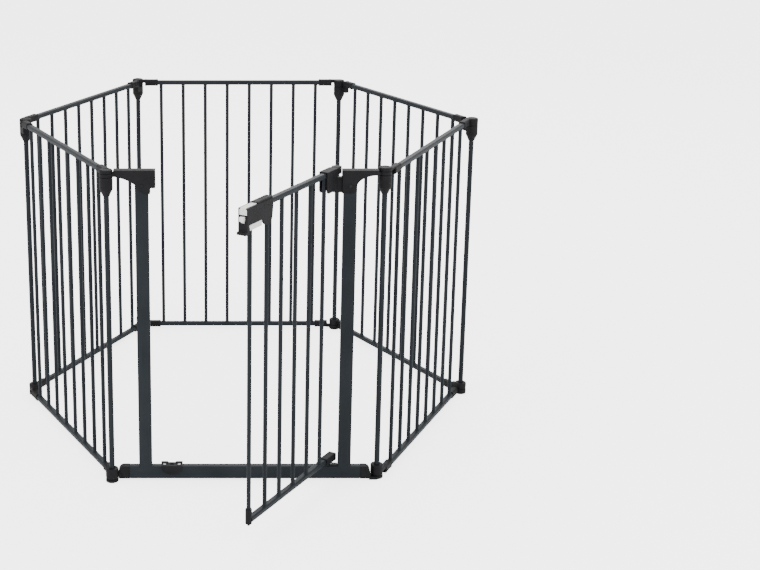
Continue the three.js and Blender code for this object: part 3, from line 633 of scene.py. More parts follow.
def post(side, bottom=POST_BOTTOM, top=POST_TOP):
    return crisp(upright(0, side, bottom, top, POST_RADIUS, POST_CHAMFER))


# ---- Corner mouldings --------------------------------------------------------------

def cuff(rail_z):
    """Sleeve over a rail's end, with a raised lip round its mouth and its heel."""
    middle = rail_z + RAIL_HEIGHT / 2
    height = RAIL_HEIGHT + 2 * CUFF_MARGIN
    inner = rounded_rect(0, middle, CUFF_WIDTH - CUFF_STEP, height - CUFF_STEP, CUFF_RADIUS)
    outer = rounded_rect(0, middle, CUFF_WIDTH, height, CUFF_LIP_RADIUS)
    sleeve = prism(inner, "x", CUFF_START, CUFF_END)
    lip = prism(outer, "x", CUFF_END - 5, CUFF_END)
    heel = prism(outer, "x", CUFF_START, CUFF_START + 6)
    return combine(sleeve, [lip, heel])


def arm(z0, z1):
    """The bridge from a moulding's round body to its cuff."""
    return block(2, CUFF_START + 2, -ARM_WIDTH / 2, ARM_WIDTH / 2, z0, z1, ARM_CORNER, "x")


def post_bore(x, y, z0, z1):
    return upright(x, y, z0, z1, BORE_RADIUS)


def dished_disc(side, z0, z1):
    """A cap disc with a rounded rim and a shallow dished top."""
    r = HUB_RADIUS
    profile = [(0, z0), (r, z0), (r, z1 - 2.5), (r - 0.8, z1 - 0.8), (r - 2.8, z1), (r - 5, z1),
               (r - 6.2, z1 - 0.9), (0, z1 - 0.9)]
    return turned(0, side, profile)


def cap(side, bottom=CAP_BOTTOM, top=CAP_TOP, bore_top=POST_TOP):
    """The cap over a post, or over no post where bore_top is None."""
    arm_bottom = max(CAP_ARM_BOTTOM, bottom + GAP)
    bore = [post_bore(0, side, bottom - CUT, bore_top + GAP)] if bore_top else []
    added = [arm(arm_bottom, CAP_TOP - GAP), cuff(TOP_RAIL_Z)]
    return moulded(combine(dished_disc(side, bottom, top), added, bore))


def hub_profile(top):
    """A skirt that widens into a round body with one groove."""
    r = HUB_RADIUS
    z = HUB_GROOVE_Z
    return [(0, HUB_BOTTOM), (HUB_SKIRT_RADIUS, HUB_BOTTOM), (HUB_SKIRT_RADIUS + 0.8, HUB_BOTTOM + 3),
            (r - 0.4, HUB_TAPER_TOP - 1), (r, HUB_TAPER_TOP + 2), (r, z), (r - 1, z + 0.5),
            (r - 1, z + 1.2), (r, z + 1.7), (r, top), (0, top)]


def hub_facets(side):
    """Cuts for the flats that square off the taper on two sides."""
    bottom = HUB_BOTTOM - 2
    top = HUB_TAPER_TOP - 3
    outside = 2 * HUB_RADIUS
    cuts = []
    edge = ((9.5, bottom), (14.4, top), (outside, top), (outside, bottom))
    for direction in (-1, 1):
        mirrored = [(direction * x, z) for x, z in edge]
        cuts.append(prism(mirrored, "y", side - 20, side + 20))
    return cuts


def armed_hub(side):
    """The hub that holds a post and a rail."""
    half = ARM_WIDTH / 2
    tie = block(HUB_TIE_START, CUFF_START + 5, -half, half, HUB_ARM_BOTTOM, HUB_TIE_TOP, ARM_CORNER, "x")
    added = [arm(HUB_ARM_BOTTOM, HUB_ARM_TOP), tie, cuff(TOP_RAIL_Z)]
    cuts = [*hub_facets(side), post_bore(0, side, HUB_BOTTOM - CUT, HUB_TOP + CUT)]
    return moulded(combine(turned(0, side, hub_profile(HUB_TOP)), added, cuts))


def plain_hub():
    """The hub under a gate bracket's ring, drawn round its own axis."""
    cuts = [*hub_facets(0), post_bore(0, 0, HUB_BOTTOM - CUT, FRONT_HUB_TOP + CUT)]
    return moulded(combine(turned(0, 0, hub_profile(FRONT_HUB_TOP)), [], cuts))


def hub_screw(side, direction):
    """A small screw in the hub's taper, on its outer face."""
    y = side + direction * (HUB_RADIUS - 4.2)
    return crisp(lying_pin(0, y, HUB_TAPER_TOP - 5, radius=1.5, length=2.4), 0.3)


def cup_profile(bottom, top):
    r = HUB_RADIUS
    return [(0, bottom), (r - 1.6, bottom), (r - 0.5, bottom + 1.5), (r, bottom + 8), (r, top - 2),
            (r - 1.2, top - 0.4), (r - 3, top), (0, top)]


def armed_cup(side, bottom, top=CUP_TOP):
    """The cup that holds a post's lower end and a rail."""
    added = [arm(CUP_ARM_BOTTOM, CUP_ARM_TOP), cuff(BOTTOM_RAIL_Z)]
    bore = post_bore(0, side, bottom - CUT, top + CUT)
    return moulded(combine(turned(0, side, cup_profile(bottom, top)), added, [bore]))


def armed_foot(side, top, bored):
    """The foot on the floor, with a socket for the post where it is bored."""
    r = HUB_RADIUS
    profile = [(0, 0), (r - 1, 0), (r, 1), (r, top - 0.8), (r - 0.8, top), (0, top)]
    added = [arm(FOOT_ARM_BOTTOM, min(top, FOOT_ARM_TOP)), cuff(BOTTOM_RAIL_Z)]
    bore = [post_bore(0, side, POST_BOTTOM - GAP, top + CUT)] if bored else []
    return moulded(combine(turned(0, side, profile), added, bore))


def build_corner_pieces(place, corner_name, body, pieces):
    """Installs (piece, kind, finish) rows, each named after its corner."""
    for piece, kind, finish in pieces:
        node = f"{corner_name}_{kind}"
        install(piece, f"{node}_fine", place, body, finish, node)


def build_upper(place, corner_name, side, body):
    """The cap and foot that turn on a corner's post."""
    build_corner_pieces(place, corner_name, body, (
        (cap(side), "top_cap", "dark_plastic"),
        (armed_foot(side, FOOT_TOP, True), "foot", "dark_plastic"),
    ))


def build_lower(place, corner_name, side, body):
    """The post with the hub and cup that hold it."""
    build_corner_pieces(place, corner_name, body, (
        (armed_hub(side), "hub", "dark_plastic"),
        (post(side), "post", "painted_steel"),
        (armed_cup(side, CUP_BOTTOM), "cup", "dark_plastic"),
    ))
    install(hub_screw(side, math.copysign(1, side)), f"{corner_name}_hub_screw", place, body, "bare_steel")


def build_front_right(place, side):
    """The fence panel's end at the gate, which carries its post through the gate's ring."""
    build_corner_pieces(place, "front_right", "right_front", (
        (cap(side, FRONT_CAP_BOTTOM, FRONT_CAP_TOP, FRONT_POST_TOP), "top_cap", "dark_plastic"),
    ))
    build_corner_pieces(shifted(place, 0, side), "front_right", "right_front", (
        (plain_hub(), "hub", "dark_plastic"),
    ))
    build_corner_pieces(place, "front_right", "right_front", (
        (post(side, top=FRONT_POST_TOP), "post", "painted_steel"),
        (armed_cup(side, DEEP_CUP_BOTTOM, DEEP_CUP_TOP), "cup", "dark_plastic"),
    ))
    install(hub_screw(side, 1), "front_right_hub_screw", place, "right_front", "bare_steel")


def build_front_left(place, side):
    """The fence panel's loose end, over and under the gate's own post."""
    build_corner_pieces(place, "front_left", "left_front", (
        (cap(side, FRONT_CAP_BOTTOM, FRONT_CAP_TOP, None), "top_cap", "dark_plastic"),
        (armed_foot(side, THIN_FOOT_TOP, False), "foot", "dark_plastic"),
    ))


def build_fence():
    s = HINGE_OFFSET
    places = {
        "right_front": panel_place("front_right", "right", s),
        "right_back": panel_place("right", "back_right", -s),
        "back": panel_place("back_right", "back_left", s),
        "left_back": panel_place("back_left", "left", -s),
        "left_front": panel_place("left", "front_left", s),
    }
    for name, place in places.items():
        install(fence_weldment(), f"panel_{name}_fine", place, name, "painted_steel", f"panel_{name}")

    build_front_right(places["right_front"], s)
    build_upper(far_end(places["right_front"]), "right", s, "right_front")
    build_lower(places["right_back"], "right", -s, "right_back")
    build_lower(far_end(places["right_back"]), "back_right", -s, "right_back")
    build_upper(places["back"], "back_right", s, "back")
    build_upper(far_end(places["back"]), "back_left", s, "back")
    build_lower(places["left_back"], "back_left", -s, "left_back")
    build_upper(far_end(places["left_back"]), "left", -s, "left_back")
    build_lower(places["left_front"], "left", s, "left_front")
    build_front_left(far_end(places["left_front"]), s)


# ---- Gate panel --------------------------------------------------------------------

FRONT_LEFT = (-GATE_SPAN / 2, -HINGE_OFFSET)
FRONT_RIGHT = (GATE_SPAN / 2, GATE_HINGE_OFFSET)


def gate_weldment():
    half = FRAME_DEPTH / 2
    threshold = block(-THRESHOLD_END, THRESHOLD_END, -half, half, THRESHOLD_BOTTOM, THRESHOLD_TOP,
                      FRAME_CORNER, "x")
    legs = []
    for x in (-UPRIGHT_X, UPRIGHT_X):
        side = UPRIGHT_WIDTH / 2
        legs.append(block(x - side, x + side, -half, half, THRESHOLD_BOTTOM + 3, UPRIGHT_TOP, FRAME_CORNER))
    return crisp(combine(threshold, legs))


def ring(post_axis):
    profile = [(0, RING_BOTTOM), (HUB_RADIUS, RING_BOTTOM), (HUB_RADIUS, RING_TOP), (0, RING_TOP)]
    return turned(*post_axis, profile)


def bracket_cuts(x, post_axis):
    """Room for the upright and the post."""
    half = FRAME_DEPTH / 2 + GAP
    reach = UPRIGHT_WIDTH / 2 + GAP
    return [block(x - reach, x + reach, -half, half, BRACKET_ROOM_BOTTOM, UPRIGHT_TOP + GAP),
            post_bore(*post_axis, RING_BOTTOM - CUT, RING_TOP + CUT)]


def strike_outline():
    outline = [(-BRACKET_REACH, BRACKET_TOP), (STRIKE_FACE_X, BRACKET_TOP),
               (STRIKE_FACE_X, STRIKE_PLATE_BOTTOM), (STRIKE_STEP_X, STRIKE_PLATE_BOTTOM),
               (STRIKE_STEP_X, STRIKE_BOTTOM)]
    shoulder = (-OUTER_EDGE, SHOULDER_Z)
    outline += bend((-UPRIGHT_X + 10, STRIKE_BOTTOM), (-UPRIGHT_X - 5, STRIKE_BOTTOM + 3), shoulder)
    outline += bend(shoulder, (-OUTER_EDGE - 16, STRIKE_ARM_Z - 6), (-BRACKET_REACH, STRIKE_ARM_Z))[1:]
    return outline


def bolt_pocket():
    """Room in the strike bracket for the bolt of the dropped door."""
    half = BOLT_HALF + STRIKE_POCKET_ROOM
    return block(STRIKE_FACE_X - STRIKE_POCKET_DEPTH, STRIKE_FACE_X + CUT, -half, half,
                 BOLT_BOTTOM - DOOR_DROP - STRIKE_POCKET_ROOM, BOLT_TOP + STRIKE_POCKET_ROOM)


def strike_bracket():
    half = BRACKET_DEPTH / 2
    body = prism(strike_outline(), "y", -half, half)
    neck = block(-NECK_END, -NECK_START, FRONT_LEFT[1] - 5, half - 5, RING_BOTTOM, RING_TOP)
    groove = block(STRIKE_STEP_X - STRIKE_GROOVE, STRIKE_STEP_X, -half - CUT, -half + 0.8,
                   STRIKE_PLATE_BOTTOM, BRACKET_TOP + CUT)
    cuts = [*bracket_cuts(-UPRIGHT_X, FRONT_LEFT), bolt_pocket(), groove]
    return moulded(combine(body, [neck, ring(FRONT_LEFT)], cuts))


def hinge_outline():
    edge = OUTER_EDGE
    bottom = HINGE_BRACKET_BOTTOM
    outline = [(BRACKET_REACH, BRACKET_TOP), (HINGE_FACE_X, BRACKET_TOP), (HINGE_FACE_X, bottom)]
    outline += bend((UPRIGHT_X + 6, bottom), (edge, bottom + 2), (edge, SHOULDER_Z))
    outline += bend((edge, SHOULDER_Z), (edge + 8, HINGE_ARM_Z - 2), (BRACKET_REACH, HINGE_ARM_Z))[1:]
    return outline


def hinge_bracket():
    half = BRACKET_DEPTH / 2
    body = prism(hinge_outline(), "y", -half, half)
    neck = block(NECK_START, NECK_END, -2, FRONT_RIGHT[1] + 4, RING_BOTTOM, RING_TOP)
    lug = upright(DOOR_AXIS_X, 0, LUG_BOTTOM, LUG_TOP, LUG_RADIUS)
    web = block(DOOR_AXIS_X, HINGE_FACE_X + 1, -LUG_WEB_HALF, LUG_WEB_HALF, LUG_BOTTOM, LUG_TOP)
    bore = upright(DOOR_AXIS_X, 0, LUG_BOTTOM + LUG_FLOOR, LUG_TOP + CUT, HINGE_PIN_RADIUS + GAP)
    cuts = [*bracket_cuts(UPRIGHT_X, FRONT_RIGHT), bore]
    return moulded(combine(body, [neck, lug, web, ring(FRONT_RIGHT)], cuts))


def bracket_screw(x):
    """A cross-head screw on a bracket's outer face."""
    face = -BRACKET_DEPTH / 2 - GAP
    head = lying_pin(x, face - 0.8, SCREW_Z, SCREW_RADIUS, length=1.6, sides=32)
    slots = [block(x - dx, x + dx, face - 2, face - 1, SCREW_Z - dz, SCREW_Z + dz)
             for dx, dz in ((CROSS_REACH, CROSS_HALF), (CROSS_HALF, CROSS_REACH))]
    return crisp(combine(head, [], slots), 0.2)


def deck_screw(side):
    """A cross-head screw that holds the catch down."""
    x = CATCH_X + side * (CATCH_REACH - CATCH_EAR / 2)
    y = DECK_SCREW_Y
    top = CATCH_DECK + 1.5
    slots = [block(x - dx, x + dx, y - dy, y + dy, top - 0.6, top + CUT)
             for dx, dy in ((CROSS_REACH, CROSS_HALF), (CROSS_HALF, CROSS_REACH))]
    return crisp(combine(upright(x, y, CATCH_DECK + GAP, top, SCREW_RADIUS, 0.3), [], slots))


def end_plug(end_x, direction):
    """The end of the threshold, with its upper corner rounded."""
    x0 = THRESHOLD_END + GAP
    top = THRESHOLD_TOP
    start = (end_x, top - END_PIECE_CORNER)
    outline = [(x0, THRESHOLD_BOTTOM), (end_x, THRESHOLD_BOTTOM), start]
    outline += bend(start, (end_x - 1.5, top - 1.5), (end_x - 12, top))[1:]
    outline.append((x0, top))
    outline = [(direction * x, z) for x, z in outline]
    return prism(outline, "y", -FRAME_DEPTH / 2, FRAME_DEPTH / 2)


def right_end_piece():
    """The threshold's end with a tongue that stands in for the corner's foot."""
    x, y = FRONT_RIGHT
    tongue = [upright(x, y, 0, THIN_FOOT_TOP, HUB_RADIUS),
              block(END_PIECE_X - 2, x, -5, y + 5.5, 0, THIN_FOOT_TOP)]
    bore = post_bore(x, y, POST_BOTTOM - GAP, THIN_FOOT_TOP + CUT)
    return moulded(combine(end_plug(END_PIECE_X, 1), tongue, [bore]))


def left_end_piece():
    """The threshold's end with a neck that holds the corner's cup."""
    x, y = FRONT_LEFT
    neck = block(x, -END_PIECE_X + 4, y - 4, y + 12, THIN_FOOT_TOP + 1, 20)
    seat = upright(x, y, 0, THRESHOLD_TOP + CUT, HUB_RADIUS + GAP)
    return moulded(combine(end_plug(LEFT_END_PIECE_X, -1), [neck], [seat]))


def left_cup():
    """The gate's own cup, closed below its post and drawn round its own axis."""
    bore = post_bore(0, 0, LEFT_POST_BOTTOM - GAP, DEEP_CUP_TOP + CUT)
    return moulded(combine(turned(0, 0, cup_profile(DEEP_CUP_BOTTOM, DEEP_CUP_TOP)), [], [bore]))


def catch_skirt(low, high):
    """A half-round apron down one side of the threshold."""
    top = THRESHOLD_TOP + GAP
    steps = 16
    outline = []
    for i in range(steps + 1):
        angle = math.pi * i / steps
        drop = (top - CATCH_SKIRT_BOTTOM) * math.sin(angle) ** 0.8
        outline.append((CATCH_X - CATCH_REACH * math.cos(angle), top - drop))
    return prism(outline, "y", low, high)


def lower_catch():
    """The clip over the threshold, with the hole for the door's pin."""
    bottom = THRESHOLD_TOP + GAP
    left = CATCH_X - CATCH_REACH
    right = CATCH_X + CATCH_REACH
    inner = FRAME_DEPTH / 2 + GAP
    deck = block(left, right, -CATCH_HALF, CATCH_HALF, bottom, CATCH_DECK)
    ears = [block(x, x + CATCH_EAR, 3, CATCH_HALF, bottom, bottom + CATCH_EAR_HEIGHT)
            for x in (left, right - CATCH_EAR)]
    skirts = [catch_skirt(-CATCH_HALF, -inner), catch_skirt(inner, CATCH_HALF)]
    hole = upright(CATCH_X, 0, bottom - CUT, CATCH_DECK + CUT, CATCH_HOLE_RADIUS)
    return moulded(combine(deck, [*ears, *skirts], [hole]), grain=0.6)


def pivot_base():
    """The low plate on the threshold that the door's pivot pin stands over."""
    bottom = THRESHOLD_TOP + GAP
    right = UPRIGHT_X - UPRIGHT_WIDTH / 2 - 0.5
    plate = block(PIVOT_BASE_START, right, -PIVOT_BASE_HALF, PIVOT_BASE_HALF, bottom, PIVOT_BASE_TOP)
    boss = upright(DOOR_AXIS_X, 0, bottom, PIVOT_BASE_TOP, PIVOT_BASE_RADIUS)
    return moulded(combine(plate, [boss]), grain=0.5, passes=2)


def build_gate():
    on_axis = shifted(GATE, *FRONT_LEFT)
    pieces = (
        (gate_weldment(), "gate_frame", GATE, "painted_steel"),
        (strike_bracket(), "strike_bracket", GATE, "dark_plastic"),
        (hinge_bracket(), "hinge_bracket", GATE, "dark_plastic"),
        (bracket_screw(-UPRIGHT_X), "strike_bracket_screw", GATE, "painted_steel"),
        (bracket_screw(UPRIGHT_X), "hinge_bracket_screw", GATE, "painted_steel"),
        (right_end_piece(), "right_end_piece", GATE, "dark_plastic"),
        (left_end_piece(), "left_end_piece", GATE, "dark_plastic"),
        (lower_catch(), "lower_catch", GATE, "dark_plastic"),
        (deck_screw(-1), "catch_screw_left", GATE, "bare_steel"),
        (deck_screw(1), "catch_screw_right", GATE, "bare_steel"),
        (pivot_base(), "lower_pivot_base", GATE, "dark_plastic"),
        (plain_hub(), "front_left_hub", on_axis, "dark_plastic"),
        (post(0, LEFT_POST_BOTTOM, RING_TOP - GAP), "front_left_post", on_axis, "painted_steel"),
        (left_cup(), "front_left_cup", on_axis, "dark_plastic"),
    )
    for piece, node, place, finish in pieces:
        install(piece, f"{node}_fine", place, "gate", finish, node)
    install(hub_screw(0, -1), "front_left_hub_screw", on_axis, "gate", "bare_steel")


# ---- Door --------------------------------------------------------------------------
# Drawn from the hinge axis along +X, with +Y the side that faces out when shut.

def side_grooves(x0, x1, z):
    """Cuts for a shallow groove along both sides of a door moulding."""
    depth = 0.6
    return [block(x0, x1, y0, y0 + CUT + depth, z, z + 1.2) for y0 in (-LATCH_HALF - CUT, LATCH_HALF - depth)]


def door_weldment():
    top = rail(DOOR_RAIL_START, DOOR_STILE + 5, DOOR_TOP_Z)
    bottom = rail(DOOR_LOW_RAIL_START, DOOR_STILE - 3, DOOR_BOTTOM_Z)
    low = DOOR_BOTTOM_Z + RAIL_HEIGHT
    bars = [welded_bar(DOOR_SECOND_BAR - i * DOOR_BAR_PITCH, low, DOOR_TOP_Z) for i in range(DOOR_BAR_COUNT)]
    stile = upright(DOOR_STILE, 0, DOOR_BOTTOM_Z - 1, DOOR_TOP_Z + 4, BAR_RADIUS, 0.4, 32)
    return crisp(combine(top, [bottom, stile, *bars]))


def hinge_sleeve():
    """The moulding over the top rail's hinge end, with the barrel round the hinge pin."""
    r = SLEEVE_CORNER
    outline = arc(SLEEVE_START + r, SLEEVE_BOTTOM + r, r, 180, 270)
    outline += arc(SLEEVE_END - r, SLEEVE_BOTTOM + r, r, 270, 360)
    outline += [(SLEEVE_END, SLEEVE_TOP), (SLEEVE_START, SLEEVE_TOP)]
    shell = prism(outline, "y", -LATCH_HALF, LATCH_HALF)
    barrel = upright(0, 0, BARREL_BOTTOM, SLEEVE_TOP, BARREL_RADIUS)
    neck = block(0, 20, -10, 10, BARREL_BOTTOM, SLEEVE_TOP - 1)
    slot = block(DOOR_RAIL_START - 1, SLEEVE_END + CUT, -RAIL_ROOM, RAIL_ROOM,
                 SLEEVE_BOTTOM - CUT, DOOR_RAIL_TOP + GAP)
    bore = upright(0, 0, BARREL_BOTTOM - CUT, HINGE_PIN_TOP + DOOR_DROP + GAP, HINGE_PIN_RADIUS + 2 * GAP)
    grooves = side_grooves(SLEEVE_START + 5, SLEEVE_END - 5, SLEEVE_GROOVE_Z)
    return moulded(combine(shell, [barrel, neck], [slot, bore, *grooves]))


def latch_outline():
    """The housing from the side: heel, cheek, the lever's room, foot with its lip, and top."""
    foot = LEVER_END + 1.5
    front = LATCH_END - 8
    outline = [(LATCH_START, LATCH_HEEL_TOP), (LATCH_START + 4, LATCH_LIP_TOP),
               (LATCH_START + 9, LATCH_CHEEK_BOTTOM)]
    outline += bend((LATCH_START + 20, LATCH_CHEEK_BOTTOM), (LEVER_START - 3, LATCH_CHEEK_BOTTOM + 2),
                    (LEVER_START - 1, LATCH_SIDE_BOTTOM))
    outline += [(front, LATCH_SIDE_BOTTOM), (front, LATCH_FOOT_TOP), (foot, LATCH_FOOT_TOP),
                (foot, LATCH_FOOT_BOTTOM), (LATCH_LIP_END, LATCH_FOOT_BOTTOM), (LATCH_LIP_END, LATCH_LIP_TOP),
                (LATCH_END, LATCH_LIP_TOP), (LATCH_END, LATCH_TOP), (LATCH_START, LATCH_TOP),
                (LATCH_START - 4, DOOR_TOP_Z)]
    return outline


def latch_cuts():
    """Room for the rail and stile, the button, its face, the bolt, the pad and the lever."""
    end = LATCH_END + CUT
    face = BUTTON_FACE_HALF + GAP
    bolt = BOLT_HALF + BOLT_ROOM
    button = BUTTON_HALF + 0.6
    lever = LEVER_HALF + GAP
    pad = PAD_HALF + GAP
    return [
        block(LATCH_START - 5, DOOR_STILE + 5.3, -RAIL_ROOM, RAIL_ROOM,
              LATCH_CHEEK_BOTTOM - CUT, DOOR_RAIL_TOP + GAP),
        block(BUTTON_ROOM_START, end, -button, button, DOOR_RAIL_TOP, LATCH_TOP + CUT),
        block(LATCH_END - 14, end, -face, face, BUTTON_BOTTOM - GAP, BUTTON_FACE_TOP + GAP),
        block(BOLT_ROOM_START, end, -bolt, bolt, BOLT_BOTTOM - BOLT_ROOM, BOLT_TOP + BOLT_ROOM),
        block(LATCH_END - 4, end, -pad, pad, PAD_BOTTOM - GAP, PAD_TOP + GAP),
        block(LEVER_START - 1.5, LEVER_END + 1, -lever, lever, LATCH_FOOT_BOTTOM - CUT, LEVER_ROOM_TOP),
    ]


def latch_housing():
    body = prism(latch_outline(), "y", -LATCH_HALF, LATCH_HALF)
    grooves = side_grooves(LATCH_START + 6, LATCH_END - 18, LATCH_GROOVE_Z)
    return moulded(combine(body, [], [*latch_cuts(), *grooves]), grain=0.6)


def grip_cover():
    """The domed pad over the rear of the latch, with three finger grooves cut across it."""
    start = LATCH_START - 2
    outline = rounded_rect(0, GRIP_TOP - GRIP_HEIGHT / 2, 2 * LATCH_HALF, GRIP_HEIGHT, GRIP_CORNER)
    half = LATCH_HALF + 2
    button = BUTTON_HALF + 0.8
    cuts = [block(start - CUT, GRIP_END + CUT, -half, half, GRIP_TOP - GRIP_HEIGHT - 2, LATCH_TOP + GAP),
            block(BUTTON_ROOM_START, GRIP_END + CUT, -button, button, LATCH_TOP, BUTTON_TOP + 0.9)]
    cuts += [block(x, x + 1.4, -8, 8, GRIP_TOP - 0.7, GRIP_TOP + CUT) for x in GRIP_GROOVES]
    return moulded(combine(prism(outline, "x", start, GRIP_END), [], cuts), grain=0.5, passes=2)


def slide_button():
    """The thumb plate with its front face, and three grooves across its top."""
    end = LATCH_END - 1
    plate = block(BUTTON_START, end, -BUTTON_HALF, BUTTON_HALF, DOOR_RAIL_TOP + GAP, BUTTON_TOP)
    face = block(end - 4, end, -BUTTON_FACE_HALF, BUTTON_FACE_HALF, BUTTON_BOTTOM, BUTTON_FACE_TOP)
    grooves = [block(x, x + 1.2, -5, 5, BUTTON_TOP - 0.7, BUTTON_TOP + CUT) for x in BUTTON_GROOVES]
    return moulded(combine(plate, [face], grooves), grain=0.5, passes=2)


def eased_block(*spans):
    return crisp(block(*spans), 0.7, 3)


def latch_pad():
    return eased_block(LATCH_END - 3.7, LATCH_END + 0.8, -PAD_HALF, PAD_HALF, PAD_BOTTOM, PAD_TOP)


def latch_bolt():
    return eased_block(BOLT_TAIL, BOLT_TIP, -BOLT_HALF, BOLT_HALF, BOLT_BOTTOM, BOLT_TOP)


def release_lever():
    strip = block(LEVER_START, LEVER_END, -LEVER_HALF, LEVER_HALF, LEVER_BOTTOM, LEVER_TOP)
    bore = upright(DOOR_STILE, 0, LEVER_BOTTOM - CUT, LEVER_TOP + CUT, BAR_RADIUS + 1.2)
    return crisp(combine(strip, [], [bore]), 0.7, 3)


def lever_spring():
    """A round wire swept along a helix, closed at both ends."""
    turn_steps = 24
    rim = 8
    rise = SPRING_END - SPRING_START
    count = SPRING_TURNS * turn_steps
    vertices = []
    for i in range(count + 1):
        turn = 2 * math.pi * i / turn_steps
        z = SPRING_START + rise * i / count
        for out, up in arc(0, 0, SPRING_WIRE, 0, 360, rim)[:-1]:
            radius = SPRING_RADIUS + out
            vertices.append((LEVER_START + 12 + radius * math.cos(turn), radius * math.sin(turn), z + up))
    faces = [(i * rim + j, i * rim + (j + 1) % rim, (i + 1) * rim + (j + 1) % rim, (i + 1) * rim + j)
             for i in range(count) for j in range(rim)]
    faces += [tuple(range(rim))[::-1], tuple(range(count * rim, (count + 1) * rim))]
    return crisp(solid_object(vertices, faces))


def stile_cap():
    """The sleeve over the stile's lower end and the weld of the bottom rail."""
    r = STILE_CAP_RADIUS
    bottom = STILE_CAP_BOTTOM
    top = STILE_CAP_TOP
    profile = [(0, bottom), (r - 1, bottom), (r, bottom + 1), (r, top - 2.6), (r - 0.8, top), (0, top)]
    notch = block(DOOR_STILE - 12, DOOR_STILE, -RAIL_ROOM, RAIL_ROOM,
                  DOOR_BOTTOM_Z - GAP, DOOR_BOTTOM_Z + RAIL_HEIGHT + GAP)
    bore = upright(DOOR_STILE, 0, DOOR_BOTTOM_Z - 1 - GAP, 86, BAR_RADIUS + GAP)
    return moulded(combine(turned(DOOR_STILE, 0, profile), [], [notch, bore]), grain=0.5, passes=2)


def end_cap_prism(margin, x0, x1):
    """A length of the rail end cap's outline, widened by a margin all round."""
    outline = rounded_rect(0, END_CAP_MIDDLE, END_CAP_WIDTH + 2 * margin, END_CAP_HEIGHT + 2 * margin,
                           END_CAP_CORNER)
    return prism(outline, "x", x0, x1)


def rail_end_cap():
    """The block on the bottom rail's hinge end, bored from below for the pivot pin."""
    seam_end = END_CAP_SEAM + 1
    seam = combine(end_cap_prism(2, END_CAP_SEAM, seam_end), [],
                   [end_cap_prism(-END_CAP_SEAM_DEPTH, END_CAP_SEAM - CUT, seam_end + CUT)])
    rail_outline = rounded_rect(0, DOOR_BOTTOM_Z + RAIL_HEIGHT / 2, RAIL_WIDTH + 2 * GAP,
                                RAIL_HEIGHT + 2 * GAP, RAIL_CORNER)
    socket = prism(rail_outline, "x", DOOR_LOW_RAIL_START - GAP, END_CAP_REACH + CUT)
    bore = upright(0, 0, 47, 62, PIVOT_PIN_RADIUS + 0.4)
    body = end_cap_prism(0, END_CAP_BACK, END_CAP_REACH)
    return moulded(combine(body, [], [socket, seam, bore]), grain=0.6)


def door_pin(x, z0, z1, radius):
    return crisp(upright(x, 0, z0, z1, radius, PIN_CHAMFER))


def catch_pin():
    return door_pin(DOOR_STILE, CATCH_PIN_BOTTOM, CATCH_PIN_TOP, CATCH_PIN_RADIUS)


def hinge_pin():
    return door_pin(0, LUG_BOTTOM + LUG_FLOOR + GAP, HINGE_PIN_TOP, HINGE_PIN_RADIUS)


def pivot_pin():
    return door_pin(0, PIVOT_BASE_TOP + GAP, PIVOT_PIN_TOP, PIVOT_PIN_RADIUS)


def build_door():
    pieces = (
        (door_weldment(), "door_panel", "door", "painted_steel"),
        (hinge_sleeve(), "door_hinge_sleeve", "door", "dark_plastic"),
        (latch_housing(), "latch_housing", "door", "dark_plastic"),
        (grip_cover(), "latch_grip_cover", "door", "dark_plastic"),
        (latch_pad(), "latch_pad", "door", "white_plastic"),
        (lever_spring(), "lever_spring", "door", "bare_steel"),
        (stile_cap(), "stile_cap", "door", "dark_plastic"),
        (catch_pin(), "catch_pin", "door", "dark_plastic"),
        (rail_end_cap(), "rail_end_cap", "door", "dark_plastic"),
        (slide_button(), "slide_button", "button", "white_plastic"),
        (latch_bolt(), "latch_bolt", "bolt", "white_plastic"),
        (release_lever(), "release_lever", "lever", "white_plastic"),
        (hinge_pin(), "door_hinge_pin", "door_pivot", "bare_steel"),
        (pivot_pin(), "lower_pivot_pin", "door_pivot", "bare_steel"),
    )
    for piece, node, body, finish in pieces:
        install(piece, f"{node}_fine", DOOR, body, finish, node)


build_fence()
build_gate()
build_door()


# ---- Stage -------------------------------------------------------------------------

STUDIO_LIGHT = 1.3
STUDIO_GLOW = 3.0  # brightens the floor and backdrop for the camera, without lighting the pen
FLOOR_HALF = 14
FLOOR_DROP = 0.0005  # keeps the floor clear of the feet
LIGHT_TARGET = (0, 0, 0.4)
LIGHTS = (
    # name, location, size, power
    ("key", (-2.2, -2.6, 3.6), 2.6, 90),
    ("fill", (3.0, -1.6, 2.6), 2.4, 45),
    ("back", (0.6, 3.2, 3.2), 2.6, 50),
)
CAMERA_EYE = (-46.9, -3288, 1607)  # in the gate's frame, in millimetres
CAMERA_TILT = 15.83  # below level, in degrees
CAMERA_LENS = 72.95
CAMERA_SHIFT = (0.2043, -0.11)


def seen_directly(tree, otherwise, strength):
    """One strength for the camera's own view of a surface, and another for the light it gives."""
    path = tree.nodes.new("ShaderNodeLightPath")
    mapped = tree.nodes.new("ShaderNodeMapRange")
    mapped.inputs["To Min"].default_value = otherwise
    mapped.inputs["To Max"].default_value = strength
    tree.links.new(path.outputs["Is Camera Ray"], mapped.inputs["Value"])
    return mapped.outputs["Result"]


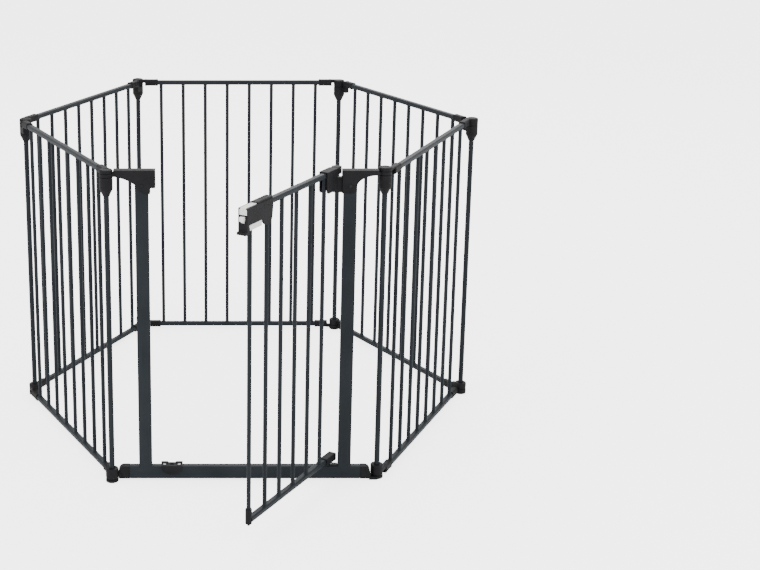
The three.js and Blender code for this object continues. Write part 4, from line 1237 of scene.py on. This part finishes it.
def build_floor():
    mesh = bpy.data.meshes.new("floor")
    half = FLOOR_HALF
    corners = [(-half, -half, 0), (half, -half, 0), (half, half, 0), (-half, half, 0)]
    mesh.from_pydata(corners, [], [(0, 1, 2, 3)])
    floor = bpy.data.objects.new("floor", mesh)
    bpy.context.scene.collection.objects.link(floor)
    material, tree, shader = node_tree("floor")
    shader.inputs["Base Color"].default_value = (0.93, 0.93, 0.93, 1)
    shader.inputs["Roughness"].default_value = 0.9
    shader.inputs["Specular IOR Level"].default_value = 0.1
    shader.inputs["Emission Color"].default_value = (1, 1, 1, 1)
    tree.links.new(seen_directly(tree, 0, STUDIO_GLOW), shader.inputs["Emission Strength"])
    mesh.materials.append(material)
    floor.location.z = -FLOOR_DROP


def build_light(name, location, size, power):
    light = bpy.data.lights.new(name, "AREA")
    light.shape = "DISK"
    light.size = size
    light.energy = power
    lamp = bpy.data.objects.new(name, light)
    lamp.location = location
    aim = Vector(LIGHT_TARGET) - Vector(location)
    lamp.rotation_euler = aim.to_track_quat("-Z", "Y").to_euler()
    bpy.context.scene.collection.objects.link(lamp)


def build_world():
    world = bpy.data.worlds.new("studio")
    world.use_nodes = True
    tree = world.node_tree
    background = tree.nodes["Background"]
    background.inputs["Color"].default_value = (1, 1, 1, 1)
    strength = seen_directly(tree, STUDIO_LIGHT, STUDIO_LIGHT + STUDIO_GLOW)
    tree.links.new(strength, background.inputs["Strength"])
    bpy.context.scene.world = world


def build_camera():
    """Eye height and distance of the reference view, looking slightly down."""
    camera = bpy.data.cameras.new("camera")
    camera.sensor_width = 36
    camera.lens = CAMERA_LENS
    camera.shift_x, camera.shift_y = CAMERA_SHIFT
    eye = bpy.data.objects.new("camera", camera)
    eye.location = GATE @ (Vector(CAMERA_EYE) * MM)
    eye.rotation_euler = (math.radians(90 - CAMERA_TILT), 0, 0)
    bpy.context.scene.collection.objects.link(eye)
    bpy.context.scene.camera = eye


build_floor()
for lamp_row in LIGHTS:
    build_light(*lamp_row)
build_world()
build_camera()

for name, obj in frame["nodes"].items():
    slot = next(s["material_slot"] for s in RECORD["subparts"] if s["node"] == name)
    obj.data.materials.clear()
    obj.data.materials.append(MATERIALS[slot])
